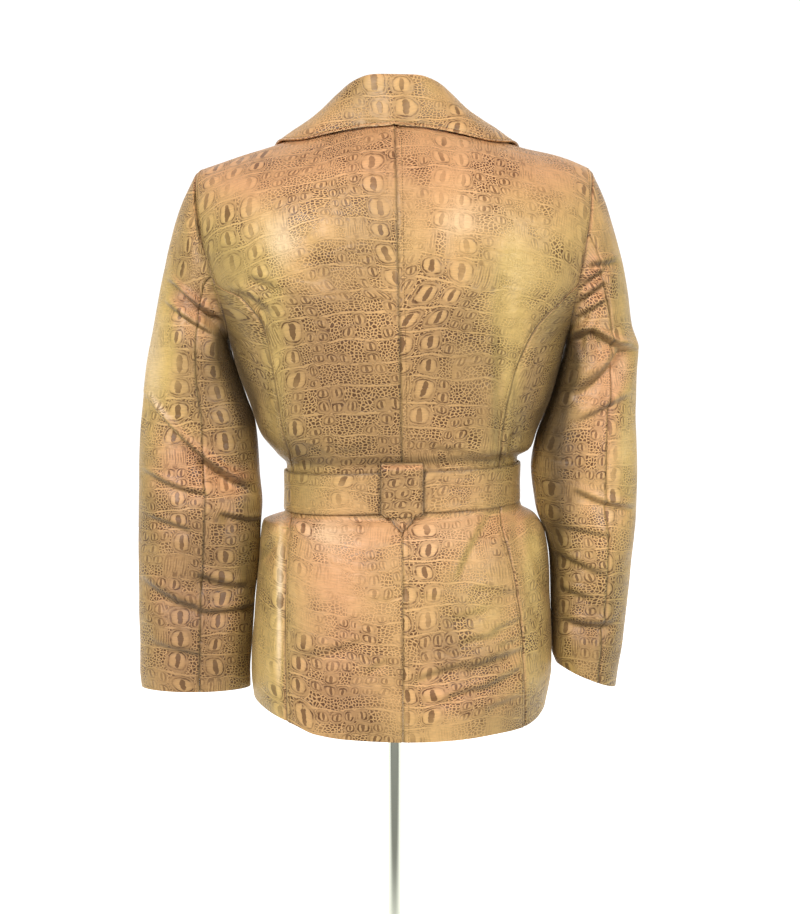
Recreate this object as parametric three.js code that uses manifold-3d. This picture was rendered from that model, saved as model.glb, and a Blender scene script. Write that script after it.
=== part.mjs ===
import * as THREE from "three";
import Module from "manifold-3d";

// A belted summer jacket on a limbless dress form, in millimetres.
// The floor is z = 0, the back of the jacket faces -y and the wearer's right side is +x.

// Cloth and clearances
const CLOTH = 1.6; // wall of the jacket's panels
const COLLAR_CLOTH = 1.8;
const BELT_CLOTH = 2.5;
const TAB_CLOTH = 2;
const SEAM = 0.4; // clear space between two pieces that are sewn together

// Levels of the body: below CHEST a level is a height, and from CHEST to TOP it climbs over
// the shoulder blade (or the chest) to the ridge of the shoulder.
const CHEST = 800;
const TOP = 930;
const UNDERARM = 705;
const JUNCTION = 768; // where the side panel's seams meet the armhole
const BREAK = 690; // where the collar's front edges meet
const RIDGE_Y = -5;
const SHOULDER_TIP = 213;
const SHOULDER_TIP_Z = 889;
const SHOULDER_SLOPE = 0.33;
const NECK_HALF = SHOULDER_TIP / 3;
const NAPE_DIP = 40;
const COLLAR_LEAN = 6; // how much less the collar spreads on the left shoulder
const FLATNESS = 0.18; // how much flatter than an ellipse a body section is

// Belt, keeper tab and buckle
const BELT_MIDDLE = 547.3;
const BELT_WIDE = 43;
const BELT_START = THREE.MathUtils.degToRad(-192); // turned from the middle of the back
const BELT_END = THREE.MathUtils.degToRad(216);
const BELT_GAP = 1.1;
const BELT_LAP = 3.4; // how far out the lapped end lies
const BELT_CUP = 0.6; // how much farther out the belt's edges stand than its middle
const TAB_MIDDLE_X = 8.2;
const TAB_WIDE = 44;
const TAB_TOP = 580.5;
const TAB_SIDE_END = 525;
const TAB_TIP = 505.5;
const TAB_LOWER_SEAM = 512;
const TAB_GAP = 0.7;
const BUCKLE_WIDE = 60;
const BUCKLE_TALL = 56;
const BUCKLE_RAIL = 6;
const BUCKLE_THICK = 3;

// Dress form and stand
const FORM_BOTTOM = 345;
const FORM_INSET = 5.5;
const FORM_NECK_TOP = 968;
const POLE_RADIUS = 7.3;
const BASE_RADIUS = 130;
const BASE_THICK = 9;

// Sections of the body: where its left and right sides are and how deep back and front are
const BODY = [
  { level: 270, left: -150, right: 160, back: 138, front: 127 },
  { level: 305, left: -156, right: 165, back: 137, front: 126 },
  { level: 345, left: -160, right: 172, back: 135, front: 124 },
  { level: 417, left: -155, right: 171, back: 130, front: 121 },
  { level: 465, left: -150, right: 168, back: 126, front: 117 },
  { level: 495, left: -148, right: 160.5, back: 119, front: 111 },
  { level: 511, left: -143, right: 151, back: 109, front: 104 },
  { level: 521, left: -118.8, right: 135.3, back: 101.5, front: 98.6 },
  { level: 547, left: -118, right: 134.6, back: 101, front: 98 },
  { level: 576, left: -118.8, right: 135.3, back: 101.5, front: 98.6 },
  { level: 586, left: -130, right: 150.5, back: 106, front: 103 },
  { level: 606, left: -148, right: 157, back: 110, front: 109 },
  { level: 639, left: -160, right: 170, back: 114, front: 117 },
  { level: 672, left: -172, right: 180, back: 118, front: 124 },
  { level: 705, left: -181, right: 188, back: 122, front: 128 },
  { level: 720, left: -189, right: 196, back: 123, front: 128 },
  { level: 740, left: -202, right: 209, back: 124, front: 126 },
  { level: 761, left: -213, right: 218, back: 125, front: 122 },
  { level: 782, left: -221, right: 224, back: 125, front: 117 },
  { level: 800, left: -226, right: 228, back: 125, front: 113 },
];

// Seams of the body, each as its x at a level
const SEAMS = [
  { level: 270, middle: 9, backLeft: -113, backRight: 142, frontLeft: -142, frontRight: 152 },
  { level: 349, middle: 9, backLeft: -116, backRight: 141, frontLeft: -140, frontRight: 152 },
  { level: 400, middle: 9, backLeft: -118, backRight: 138, frontLeft: -136, frontRight: 150 },
  { level: 454, middle: 9, backLeft: -118, backRight: 129.5, frontLeft: -130, frontRight: 144 },
  { level: 486, middle: 8.5, backLeft: -116.5, backRight: 122.5, frontLeft: -122, frontRight: 135 },
  { level: 519, middle: 8, backLeft: -112, backRight: 114.5, frontLeft: -108, frontRight: 124 },
  { level: 573, middle: 8, backLeft: -111, backRight: 113, frontLeft: -107, frontRight: 123 },
  { level: 612, middle: 7.3, backLeft: -119, backRight: 116.5, frontLeft: -132, frontRight: 139 },
  { level: 658, middle: 6.5, backLeft: -126, backRight: 124, frontLeft: -148, frontRight: 154 },
  { level: 687, middle: 6, backLeft: -131, backRight: 134, frontLeft: -158, frontRight: 163 },
  { level: 720, middle: 5.5, backLeft: -140, backRight: 150, frontLeft: -167, frontRight: 173 },
  { level: 750, middle: 4.5, backLeft: -163, backRight: 179, frontLeft: -176, frontRight: 181 },
  { level: 768, middle: 4.2, backLeft: -191.5, backRight: 196.5, frontLeft: -181, frontRight: 185 },
  { level: 835, middle: 2.5, backLeft: -210, backRight: 209, frontLeft: -200, frontRight: 199 },
  { level: 930, middle: -1, backLeft: -213, backRight: 213, frontLeft: -213, frontRight: 213 },
];

// Armhole seams, each as its x at a level
const ARMHOLE = [
  { level: 705, backLeft: -181, backRight: 188, frontLeft: -181, frontRight: 188 },
  { level: 720, backLeft: -179.5, backRight: 188.5, frontLeft: -175, frontRight: 184 },
  { level: 740, backLeft: -182.7, backRight: 190.5, frontLeft: -175.5, frontRight: 183 },
  { level: 768, backLeft: -191.5, backRight: 196.5, frontLeft: -181, frontRight: 185 },
  { level: 809, backLeft: -205, backRight: 204.5, frontLeft: -192, frontRight: 192 },
  { level: 832, backLeft: -209.6, backRight: 208.6, frontLeft: -199, frontRight: 199 },
  { level: 860, backLeft: -214, backRight: 211.5, frontLeft: -206, frontRight: 206 },
  { level: 888, backLeft: -214.9, backRight: 213.5, frontLeft: -211, frontRight: 211 },
  { level: 930, backLeft: -213, backRight: 213, frontLeft: -213, frontRight: 213 },
];

// Front edges above the break, as the distance from the middle at a level
const FRONT_EDGE = [
  { level: 270, x: 0.8 },
  { level: 690, x: 0.8 },
  { level: 720, x: 13 },
  { level: 760, x: 29 },
  { level: 800, x: 43 },
  { level: 840, x: 54 },
  { level: 880, x: 64 },
  { level: 910, x: 69.5 },
  { level: 930, x: 71 },
];

// Sleeve rings: the outermost point, the innermost point and half the depth
const SLEEVE_LEFT = [
  { outX: -221, outZ: 877, inX: -184.5, inZ: 701, half: 62 },
  { outX: -231, outZ: 856, inX: -185.5, inZ: 697, half: 62 },
  { outX: -240, outZ: 829, inX: -186, inZ: 693, half: 61 },
  { outX: -249, outZ: 795, inX: -186, inZ: 688, half: 60 },
  { outX: -257, outZ: 757, inX: -179.5, inZ: 683, half: 58 },
  { outX: -264, outZ: 722, inX: -176.5, inZ: 676, half: 57 },
  { outX: -270, outZ: 692, inX: -172.2, inZ: 664, half: 55 },
  { outX: -275, outZ: 658, inX: -165, inZ: 645, half: 53 },
  { outX: -279, outZ: 622, inX: -155, inZ: 616, half: 51 },
  { outX: -281, outZ: 590, inX: -150.5, inZ: 588, half: 49 },
  { outX: -282, outZ: 560, inX: -148.5, inZ: 560, half: 47 },
  { outX: -283, outZ: 528, inX: -146, inZ: 528, half: 46 },
  { outX: -283.5, outZ: 495, inX: -148.5, inZ: 498, half: 45 },
  { outX: -284, outZ: 461, inX: -154, inZ: 461, half: 44 },
  { outX: -284, outZ: 417, inX: -157.3, inZ: 417, half: 43 },
  { outX: -283.5, outZ: 372, inX: -161.5, inZ: 372, half: 42 },
  { outX: -283.8, outZ: 340, inX: -166, inZ: 340, half: 41 },
  { outX: -282, outZ: 321, inX: -169.5, inZ: 321, half: 40 },
];
const SLEEVE_RIGHT = [
  { outX: 220, outZ: 876, inX: 191.5, inZ: 701, half: 62 },
  { outX: 229, outZ: 856, inX: 192.5, inZ: 697, half: 62 },
  { outX: 238, outZ: 829, inX: 193, inZ: 693, half: 61 },
  { outX: 247.5, outZ: 796, inX: 193, inZ: 688, half: 60 },
  { outX: 255, outZ: 757, inX: 187.5, inZ: 683, half: 58 },
  { outX: 260, outZ: 723, inX: 185, inZ: 677, half: 57 },
  { outX: 268, outZ: 694, inX: 181, inZ: 666, half: 55 },
  { outX: 266, outZ: 662, inX: 176, inZ: 650, half: 53 },
  { outX: 265, outZ: 630, inX: 167.5, inZ: 624, half: 51 },
  { outX: 266.5, outZ: 598, inX: 158, inZ: 598, half: 50 },
  { outX: 268, outZ: 560, inX: 150.5, inZ: 565, half: 50 },
  { outX: 267, outZ: 520, inX: 156, inZ: 520, half: 50 },
  { outX: 265, outZ: 490, inX: 167, inZ: 490, half: 49 },
  { outX: 262, outZ: 458, inX: 172.5, inZ: 458, half: 48 },
  { outX: 258, outZ: 415, inX: 175.5, inZ: 412, half: 46 },
  { outX: 253.5, outZ: 372, inX: 176.5, inZ: 376, half: 45 },
  { outX: 249, outZ: 345, inX: 177.5, inZ: 360, half: 44 },
  { outX: 246, outZ: 322, inX: 178, inZ: 349, half: 43 },
];

// The collar from the middle of the back to the break: its roll line in space, its neck seam and
// outer edge on the body, where a negative run is behind the shoulder ridge, and how far it bulges
const COLLAR = [
  { rollX: 0, rollY: -66, rollZ: 986, edgeX: 0, edgeRun: -50, neckX: 0, neckRun: -45, bulge: 0 },
  { rollX: 22, rollY: -63.5, rollZ: 985.5, edgeX: 33, edgeRun: -43.5, neckX: 27, neckRun: -42, bulge: 0 },
  { rollX: 38, rollY: -53, rollZ: 982, edgeX: 68, edgeRun: -38, neckX: 50, neckRun: -34, bulge: 0 },
  { rollX: 50, rollY: -34, rollZ: 976.5, edgeX: 97, edgeRun: -35, neckX: 66, neckRun: -21, bulge: 0 },
  { rollX: 58, rollY: -10, rollZ: 969.5, edgeX: 122, edgeRun: -20, neckX: 74.5, neckRun: -4, bulge: 0 },
  { rollX: 62, rollY: 16, rollZ: 957, edgeX: 134, edgeRun: 10, neckX: 74.5, neckRun: 14, bulge: 2 },
  { rollX: 63, rollY: 42, rollZ: 939, edgeX: 139, edgeRun: 38, neckX: 72.5, neckRun: 32, bulge: 5 },
  { rollX: 61.5, rollY: 66, rollZ: 919, edgeX: 138, edgeRun: 66, neckX: 69, neckRun: 50, bulge: 8 },
  { rollX: 52.5, rollY: 104, rollZ: 870, edgeX: 128, edgeRun: 100, neckX: 59, neckRun: 90, bulge: 9 },
  { rollX: 41.5, rollY: 119.5, rollZ: 800, edgeX: 110, edgeRun: 133, neckX: 48, neckRun: 130, bulge: 6 },
  { rollX: 27.5, rollY: 129, rollZ: 760, edgeX: 86, edgeRun: 166, neckX: 34, neckRun: 170, bulge: 4 },
  { rollX: 12.5, rollY: 135, rollZ: 720, edgeX: 52, edgeRun: 200, neckX: 19, neckRun: 210, bulge: 2 },
  { rollX: 3.5, rollY: 135.5, rollZ: 694, edgeX: 14, edgeRun: 234, neckX: 9, neckRun: 234, bulge: 0 },
];

// The hem line, which rises more on the left side than on the right
const HEM = [
  { x: -165, z: 323 },
  { x: -130, z: 308.5 },
  { x: -107, z: 300.5 },
  { x: -86, z: 292.5 },
  { x: -50, z: 289.3 },
  { x: 10, z: 288.8 },
  { x: 60, z: 289.3 },
  { x: 100, z: 290.5 },
  { x: 137, z: 291.5 },
  { x: 152, z: 295 },
  { x: 165, z: 303 },
];

// Rows of every body panel: how many steps lead up to each level, and whether it follows the belt
const BANDS = [
  { to: 440, steps: 5, belt: 0 },
  { to: 509, steps: 4, belt: 1 },
  { to: 521, steps: 2, belt: 1 },
  { to: 575, steps: 3, belt: 1 },
  { to: 660, steps: 5, belt: 0 },
];
const UNDERARM_STEPS = 4; // from the last band to the junction or the underarm
const SHOULDER_STEPS = 7; // from the junction to the shoulder seam
const BACK_COLUMNS = 9;
const FRONT_COLUMNS = 6;
const SIDE_COLUMNS = 8;

const vector = (x, y, z) => new THREE.Vector3(x, y, z);
const mix = (a, b, t) => a + (b - a) * t;
const ease = (t) => {
  const c = Math.min(Math.max(t, 0), 1);
  return c * c * (3 - 2 * c);
};

// A smooth curve through one column of a table, read against another column
function curve(rows, from, key) {
  const at = rows.map((row) => row[from]);
  const to = rows.map((row) => row[key]);
  const rise = at.slice(1).map((next, i) => (to[i + 1] - to[i]) / (next - at[i]));
  const slope = at.map((_, i) => {
    if (i === 0) return rise[0];
    if (i === rise.length) return rise[i - 1];
    const product = rise[i - 1] * rise[i];
    return product <= 0 ? 0 : (2 * product) / (rise[i - 1] + rise[i]);
  });
  return (value) => {
    if (value <= at[0]) return to[0] + slope[0] * (value - at[0]);
    const last = at.length - 1;
    if (value >= at[last]) return to[last] + slope[last] * (value - at[last]);
    let i = 0;
    while (value > at[i + 1]) i += 1;
    const step = at[i + 1] - at[i];
    const t = (value - at[i]) / step;
    const s = 1 - t;
    const ends = to[i] * (1 + 2 * t) * s * s + to[i + 1] * (1 + 2 * s) * t * t;
    return ends + step * t * s * (slope[i] * s - slope[i + 1] * t);
  };
}

const body = {};
for (const key of ["left", "right", "back", "front"]) body[key] = curve(BODY, "level", key);
const seam = {};
for (const key of ["middle", "backLeft", "backRight", "frontLeft", "frontRight"]) {
  seam[key] = curve(SEAMS, "level", key);
}
const armhole = {};
for (const key of ["backLeft", "backRight", "frontLeft", "frontRight"]) {
  armhole[key] = curve(ARMHOLE, "level", key);
}
const frontEdge = curve(FRONT_EDGE, "level", "x");

// The belt lies lower on the left side of the picture than on the right
const beltShift = (x) => (x < 0 ? 0.05 * x : 0.022 * x);
const tableLevel = (x, level) => level - beltShift(x) * Math.exp(-(((level - BELT_MIDDLE) / 50) ** 2));
const ridge = (x) => {
  const full = 4 * Math.exp(-(((x - 185) / 32) ** 2));
  return SHOULDER_TIP_Z + SHOULDER_SLOPE * (SHOULDER_TIP - Math.abs(x)) + full;
};
const hem = curve(HEM, "x", "z");

// Shallow waves that the skirt hangs in
const wave = (angle, level) => 2.6 * Math.sin(5 * angle + 0.7) * ease((505 - level) / 160);

// A point of the body where its section has turned by an angle from the middle of the back
function bodyAt(angle, level) {
  const at = Math.min(level, CHEST);
  const guess = (body.left(at) + body.right(at)) / 2 + Math.sin(angle) * 150;
  const used = tableLevel(guess, at);
  const middle = (body.left(used) + body.right(used)) / 2;
  const half = (body.right(used) - body.left(used)) / 2;
  const s = Math.sin(angle);
  const c = Math.cos(angle);
  const depth = c > 0 ? body.back(used) : body.front(used);
  const out = wave(angle, at);
  const x = middle + (half + out) * s;
  const y = -(depth + out) * c * (1 + FLATNESS * s * s);
  if (level <= CHEST) return vector(x, y, level);
  const lean = ((TOP - level) / (TOP - CHEST)) * (Math.PI / 2);
  return vector(x, RIDGE_Y + (y - RIDGE_Y) * Math.sin(lean), CHEST + (ridge(x) - CHEST) * Math.cos(lean));
}

// The angle at which the section reaches x, on the back (-1) or the front (+1)
function angleOf(x, level, face) {
  const used = tableLevel(x, Math.min(level, CHEST));
  const middle = (body.left(used) + body.right(used)) / 2;
  const half = (body.right(used) - body.left(used)) / 2;
  const angle = Math.asin(Math.min(Math.max((x - middle) / half, -0.9999), 0.9999));
  if (face < 0) return angle;
  return x < middle ? -Math.PI - angle : Math.PI - angle;
}
const onBody = (x, level, face) => bodyAt(angleOf(x, level, face), level);

// The outward direction of a surface given as a function of two numbers
function normalOf(surface, u, v, stepU, stepV) {
  const along = surface(u + stepU, v).sub(surface(u - stepU, v));
  const up = surface(u, v + stepV).sub(surface(u, v - stepV));
  return along.cross(up).normalize();
}
const bodyNormal = (angle, level) => normalOf(bodyAt, angle, level, 0.004, 0.6);

// The closed solid between two grids of points
function shell(outer, inner, wrap = false) {
  const columns = outer.length;
  const rows = outer[0].length;
  const points = [...outer.flat(), ...inner.flat()].flatMap((p) => [p.x, p.y, p.z]);
  const faces = [];
  const out = (i, j) => (i % columns) * rows + j;
  const back = (i, j) => columns * rows + out(i, j);
  const quad = (a, b, c, d) => faces.push(a, b, c, a, c, d);
  const last = wrap ? columns : columns - 1;
  for (let i = 0; i < last; i += 1) {
    for (let j = 0; j < rows - 1; j += 1) {
      quad(out(i, j), out(i + 1, j), out(i + 1, j + 1), out(i, j + 1));
      quad(back(i, j), back(i, j + 1), back(i + 1, j + 1), back(i + 1, j));
    }
    quad(out(i, 0), back(i, 0), back(i + 1, 0), out(i + 1, 0));
    quad(out(i, rows - 1), out(i + 1, rows - 1), back(i + 1, rows - 1), back(i, rows - 1));
  }
  if (!wrap) {
    for (let j = 0; j < rows - 1; j += 1) {
      quad(out(0, j), out(0, j + 1), back(0, j + 1), back(0, j));
      quad(out(columns - 1, j), back(columns - 1, j), back(columns - 1, j + 1), out(columns - 1, j + 1));
    }
  }
  return closed(points, faces);
}

// A mesh from points and faces, turned so that its faces look outwards
function closed(points, faces) {
  let volume = 0;
  const corner = (k) => vector(points[3 * k], points[3 * k + 1], points[3 * k + 2]);
  for (let f = 0; f < faces.length; f += 3) {
    volume += corner(faces[f]).dot(corner(faces[f + 1]).cross(corner(faces[f + 2])));
  }
  const turned = volume < 0 ? [...faces].reverse() : faces;
  const geometry = new THREE.BufferGeometry();
  geometry.setAttribute("position", new THREE.Float32BufferAttribute(points, 3));
  geometry.setIndex(turned);
  return geometry;
}

// Levels of a column's rows, from the hem to the height it reaches, where waistX is its x at the belt
function levels(from, top, shoulder, waistX) {
  const list = [from];
  let start = from;
  const climb = (to, steps) => {
    for (let k = 1; k <= steps; k += 1) list.push(mix(start, to, k / steps));
    start = to;
  };
  for (const band of BANDS) climb(band.to + band.belt * beltShift(waistX), band.steps);
  climb(shoulder ? JUNCTION : top, UNDERARM_STEPS);
  if (shoulder) climb(top, SHOULDER_STEPS);
  return list;
}

// A panel from its columns, where a column gives the angle and level of each of its points
function panel(columns, lift = 0) {
  const outer = [];
  const inner = [];
  for (const column of columns) {
    const out = column.map(({ angle, level }) => {
      return bodyAt(angle, level).addScaledVector(bodyNormal(angle, level), lift);
    });
    outer.push(out);
    inner.push(out.map((p, j) => {
      return p.clone().addScaledVector(bodyNormal(column[j].angle, column[j].level), -CLOTH);
    }));
  }
  return shell(outer, inner);
}

const sideKey = (side) => (side < 0 ? "Left" : "Right");

// A back panel: middle seam to side-back seam and armhole, hem to neckline and shoulder seam
function backPanel(side) {
  const outerX = (level) => {
    const line = level < JUNCTION ? seam : armhole;
    return line["back" + sideKey(side)](level) - (side * SEAM) / 2;
  };
  const columns = [];
  for (let i = 0; i <= BACK_COLUMNS; i += 1) {
    const s = i / BACK_COLUMNS;
    const across = (level) => mix(seam.middle(level) + (side * SEAM) / 2, outerX(level), s);
    const neck = Math.max(1 - (s * 3) ** 2, 0) ** 0.65;
    const top = TOP - SEAM / 2 - NAPE_DIP * neck;
    const foot = hem(across(300));
    columns.push(levels(foot, top, true, across(BELT_MIDDLE)).map((level) => {
      return { angle: angleOf(across(level), level, -1), level };
    }));
  }
  return panel(columns);
}

// A front panel: side-front seam and armhole to the front edge
function frontPanel(side) {
  const outerX = (level) => {
    const line = level < JUNCTION ? seam : armhole;
    return line["front" + sideKey(side)](level) - (side * SEAM) / 2;
  };
  const columns = [];
  for (let i = 0; i <= FRONT_COLUMNS; i += 1) {
    const s = i / FRONT_COLUMNS;
    const across = (level) => mix(side * frontEdge(level), outerX(level), s);
    const foot = hem(across(300));
    columns.push(levels(foot, TOP - SEAM / 2, true, across(BELT_MIDDLE)).map((level) => {
      return { angle: angleOf(across(level), level, 1), level };
    }));
  }
  return panel(columns);
}

// Level and angle of the armhole where the side panel's column ends under the arm
function underarm(side, u) {
  const level = UNDERARM + (JUNCTION - UNDERARM) * Math.abs(1 - 2 * u) ** 1.5;
  const face = u < 0.5 ? -1 : 1;
  if (Math.abs(u - 0.5) < 1e-6) return { angle: (side * Math.PI) / 2, level };
  const x = armhole[(face < 0 ? "back" : "front") + sideKey(side)](level);
  let angle = angleOf(x, level, face);
  if (side < 0 && angle > 0) angle -= 2 * Math.PI;
  return { angle, level };
}

// A side panel: side-back seam round the side to the side-front seam, hem to underarm
function sidePanel(side) {
  const columns = [];
  for (let i = 0; i <= SIDE_COLUMNS; i += 1) {
    const u = i / SIDE_COLUMNS;
    const inset = u === 0 ? 1 : u === 1 ? -1 : 0;
    const angleAt = (level) => {
      const x0 = seam["back" + sideKey(side)](level) + (side * SEAM * (1 + inset)) / 4;
      const x1 = seam["front" + sideKey(side)](level) + (side * SEAM * (1 - inset)) / 4;
      return mix(angleOf(x0, level, -1), angleOf(x1, level, 1), u);
    };
    const end = underarm(side, u);
    const extra = end.angle - angleAt(end.level);
    const foot = hem(bodyAt(angleAt(300), 300).x);
    const waistX = bodyAt(angleAt(BELT_MIDDLE), BELT_MIDDLE).x;
    columns.push(levels(foot, end.level, false, waistX).map((level) => {
      const near = ((level - foot) / (end.level - foot)) ** 6;
      return { angle: angleAt(level) + (inset === 0 ? extra * near : 0), level };
    }));
  }
  return panel(columns);
}

// Stations round the armhole: over the back, under the arm, up the front
function armholeStations(side) {
  const list = [];
  const steps = SHOULDER_STEPS;
  const edge = (level, face) => {
    const x = armhole[(face < 0 ? "back" : "front") + sideKey(side)](level) + side * SEAM;
    return { angle: angleOf(x, level, face), level, under: false };
  };
  for (let k = 0; k <= steps; k += 1) {
    list.push({ ...edge(mix(TOP, JUNCTION, k / steps), -1), turn: (k * 98) / steps });
  }
  for (let k = 1; k < SIDE_COLUMNS; k += 1) {
    const turn = 98 + ((262 - 98) * k) / SIDE_COLUMNS;
    list.push({ ...underarm(side, k / SIDE_COLUMNS), under: true, turn });
  }
  for (let k = 0; k < steps; k += 1) {
    list.push({ ...edge(mix(JUNCTION, TOP, k / steps), 1), turn: 262 + (k * 98) / steps });
  }
  return list;
}

// Creases of a sleeve: where each starts and ends (turn in degrees, height), how wide and deep
const SLEEVE_CREASES = {
  Left: [
    { turn: 60, height: 764, toTurn: 150, toHeight: 716, wide: 15, deep: 5 },
    { turn: 20, height: 632, toTurn: 140, toHeight: 545, wide: 15, deep: 6 },
    { turn: 40, height: 548, toTurn: 100, toHeight: 535, wide: 13, deep: 3.5 },
    { turn: 70, height: 436, toTurn: 140, toHeight: 430, wide: 13, deep: 3 },
  ],
  Right: [
    { turn: 150, height: 706, toTurn: 30, toHeight: 700, wide: 14, deep: 5 },
    { turn: 20, height: 690, toTurn: 130, toHeight: 640, wide: 13, deep: 5 },
    { turn: 120, height: 535, toTurn: 40, toHeight: 518, wide: 14, deep: 4 },
    { turn: 130, height: 405, toTurn: 80, toHeight: 398, wide: 14, deep: 3 },
  ],
};
function creaseDepth(creases, turn, height) {
  let sum = 0;
  for (const c of creases) {
    const span = c.toTurn - c.turn;
    const t = (turn - c.turn) / span;
    const inside = ease((t + 0.25) / 0.5) * ease((1.25 - t) / 0.5);
    const off = height - mix(c.height, c.toHeight, Math.min(Math.max(t, 0), 1));
    sum += c.deep * inside * Math.exp(-((off / c.wide) ** 2));
  }
  return sum;
}

// A sleeve as a ring of points per row, from the armhole to the cuff
function sleeveRings(side) {
  const stations = armholeStations(side);
  const rows = side < 0 ? SLEEVE_LEFT : SLEEVE_RIGHT;
  const first = stations.map((s) => {
    const n = bodyNormal(s.angle, s.level);
    const p = bodyAt(s.angle, s.level);
    if (s.under) p.addScaledVector(n, 0.7).add(vector(0, 0, 0.5));
    return { point: p, out: n };
  });
  const rings = [first.map((f) => f.point)];
  rows.forEach((row, j) => {
    const centre = vector((row.outX + row.inX) / 2, 0, (row.outZ + row.inZ) / 2);
    const arm = vector((row.outX - row.inX) / 2, 0, (row.outZ - row.inZ) / 2);
    rings.push(stations.map((s, k) => {
      const turn = THREE.MathUtils.degToRad(s.turn);
      const round = centre.clone().addScaledVector(arm, Math.cos(turn));
      round.y = -row.half * Math.sin(turn);
      const inward = centre.clone().sub(round).normalize();
      round.addScaledVector(inward, creaseDepth(SLEEVE_CREASES[sideKey(side)], s.turn, round.z));
      return j === 0 ? first[k].point.clone().lerp(round, 0.55) : round;
    }));
  });
  return { rings, first, stations };
}

// One of a sleeve's two pieces, between two turns of its ring
function sleevePiece(side, from, to) {
  const { rings, first, stations } = sleeveRings(side);
  const count = stations.length;
  const at = (j, k) => rings[j][(k + count) % count];
  const outer = [];
  const inner = [];
  for (let k = from; k <= to; k += 1) {
    const out = [];
    const under = [];
    for (let j = 0; j < rings.length; j += 1) {
      const along = at(j, k + 1).clone().sub(at(j, k - 1));
      const down = at(Math.min(j + 1, rings.length - 1), k).clone().sub(at(Math.max(j - 1, 0), k));
      const normal = along.cross(down).normalize().multiplyScalar(side);
      if (j === 0) {
        const station = first[(k + count) % count];
        const share = ease((normal.dot(station.out) + 0.1) / 0.6);
        normal.lerp(station.out, share).normalize();
      }
      const p = at(j, k).clone();
      const next = k === from ? at(j, k + 1) : k === to ? at(j, k - 1) : p;
      p.addScaledVector(next.clone().sub(p).normalize(), k === from || k === to ? SEAM / 2 : 0);
      out.push(p);
      under.push(p.clone().addScaledVector(normal, -CLOTH));
    }
    outer.push(out);
    inner.push(under);
  }
  return shell(outer, inner);
}

// The collar as one strip: neck seam, stand, roll line, fall, outer edge
function collarPiece() {
  const run = (x, distance, lift) => {
    const face = distance < 0 ? -1 : 1;
    const level = TOP - Math.abs(distance);
    const angle = angleOf(x, level, face);
    return bodyAt(angle, level).addScaledVector(bodyNormal(angle, level), lift);
  };
  const stations = [];
  const keys = ["rollX", "rollY", "rollZ", "edgeX", "edgeRun", "neckX", "neckRun", "bulge"];
  const rows = COLLAR.map((row, at) => ({ ...row, at }));
  const { rollX, edgeX, neckX } = rows[1];
  rows.unshift({ ...rows[1], rollX: -rollX, edgeX: -edgeX, neckX: -neckX, at: -1 });
  const read = {};
  for (const key of keys) read[key] = curve(rows, "at", key);
  const last = COLLAR.length - 1;
  const half = 18;
  for (let k = -half; k <= half; k += 1) {
    const side = k < 0 ? -1 : 1;
    const at = (Math.abs(k) / half) * last;
    const value = {};
    for (const key of keys) value[key] = read[key](at);
    const roll = vector(side * value.rollX, value.rollY, value.rollZ);
    const neck = run(side * value.neckX, value.neckRun, COLLAR_CLOTH / 2 + 1.7);
    const lean = side < 0 ? COLLAR_LEAN * Math.exp(-(((at - 4.5) / 2.5) ** 2)) : 0;
    const edge = run(side * (value.edgeX - lean), value.edgeRun, COLLAR_CLOTH / 2 + 1.7);
    const fall = edge.clone().sub(roll);
    const stand = neck.clone().sub(roll);
    const across = fall.clone().normalize().sub(stand.clone().normalize());
    across.addScaledVector(fall.clone().normalize(), -across.dot(fall.clone().normalize())).normalize();
    const reach = Math.min(5, 0.35 * stand.length());
    const high = roll.clone().addScaledVector(stand.clone().normalize(), reach).addScaledVector(across, -1.3);
    const low = roll.clone().addScaledVector(fall.clone().normalize(), reach).addScaledVector(across, 1.5);
    const blend = (p, q, t, up) => {
      return p.clone().lerp(q, t).addScaledVector(across, up * Math.sin(Math.PI * t));
    };
    stations.push([
      neck,
      neck.clone().lerp(high, 0.5),
      high,
      roll.clone().lerp(high, 0.35).addScaledVector(across, -0.5),
      roll,
      roll.clone().lerp(low, 0.35).addScaledVector(across, 0.5),
      low,
      blend(low, edge, 0.3, value.bulge),
      blend(low, edge, 0.65, value.bulge),
      edge,
    ]);
  }
  const outer = [];
  const inner = [];
  stations.forEach((column, i) => {
    const before = stations[Math.max(i - 1, 0)];
    const after = stations[Math.min(i + 1, stations.length - 1)];
    const normals = column.map((_, j) => {
      const along = after[j].clone().sub(before[j]);
      const up = column[Math.min(j + 1, column.length - 1)].clone().sub(column[Math.max(j - 1, 0)]);
      return along.cross(up).normalize();
    });
    outer.push(column.map((p, j) => p.clone().addScaledVector(normals[j], COLLAR_CLOTH / 2)));
    inner.push(column.map((p, j) => p.clone().addScaledVector(normals[j], -COLLAR_CLOTH / 2)));
  });
  return shell(outer, inner);
}

// The belt runs once round the waist and its end laps over its start at the front
function beltPiece() {
  const steps = 68;
  const outer = [];
  const inner = [];
  for (let i = 0; i <= steps; i += 1) {
    const angle = mix(BELT_START, BELT_END, i / steps);
    const lap = ease((angle - 2.3) / 0.55) * BELT_LAP;
    const waist = bodyAt(angle, BELT_MIDDLE);
    const normal = bodyNormal(angle, BELT_MIDDLE);
    normal.z = 0;
    normal.normalize();
    const left = steps - i;
    const taper = left < 3 ? [0.12, 0.6, 0.92][left] : 1;
    const out = [];
    const under = [];
    for (const part of [-1, 0, 1]) {
      const p = waist.clone().addScaledVector(normal, BELT_GAP + BELT_CUP * Math.abs(part) + lap);
      p.z = BELT_MIDDLE + beltShift(p.x) + (part * taper * BELT_WIDE) / 2;
      under.push(p);
      out.push(p.clone().addScaledVector(normal, BELT_CLOTH));
    }
    outer.push(out);
    inner.push(under);
  }
  return shell(outer, inner);
}

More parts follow.
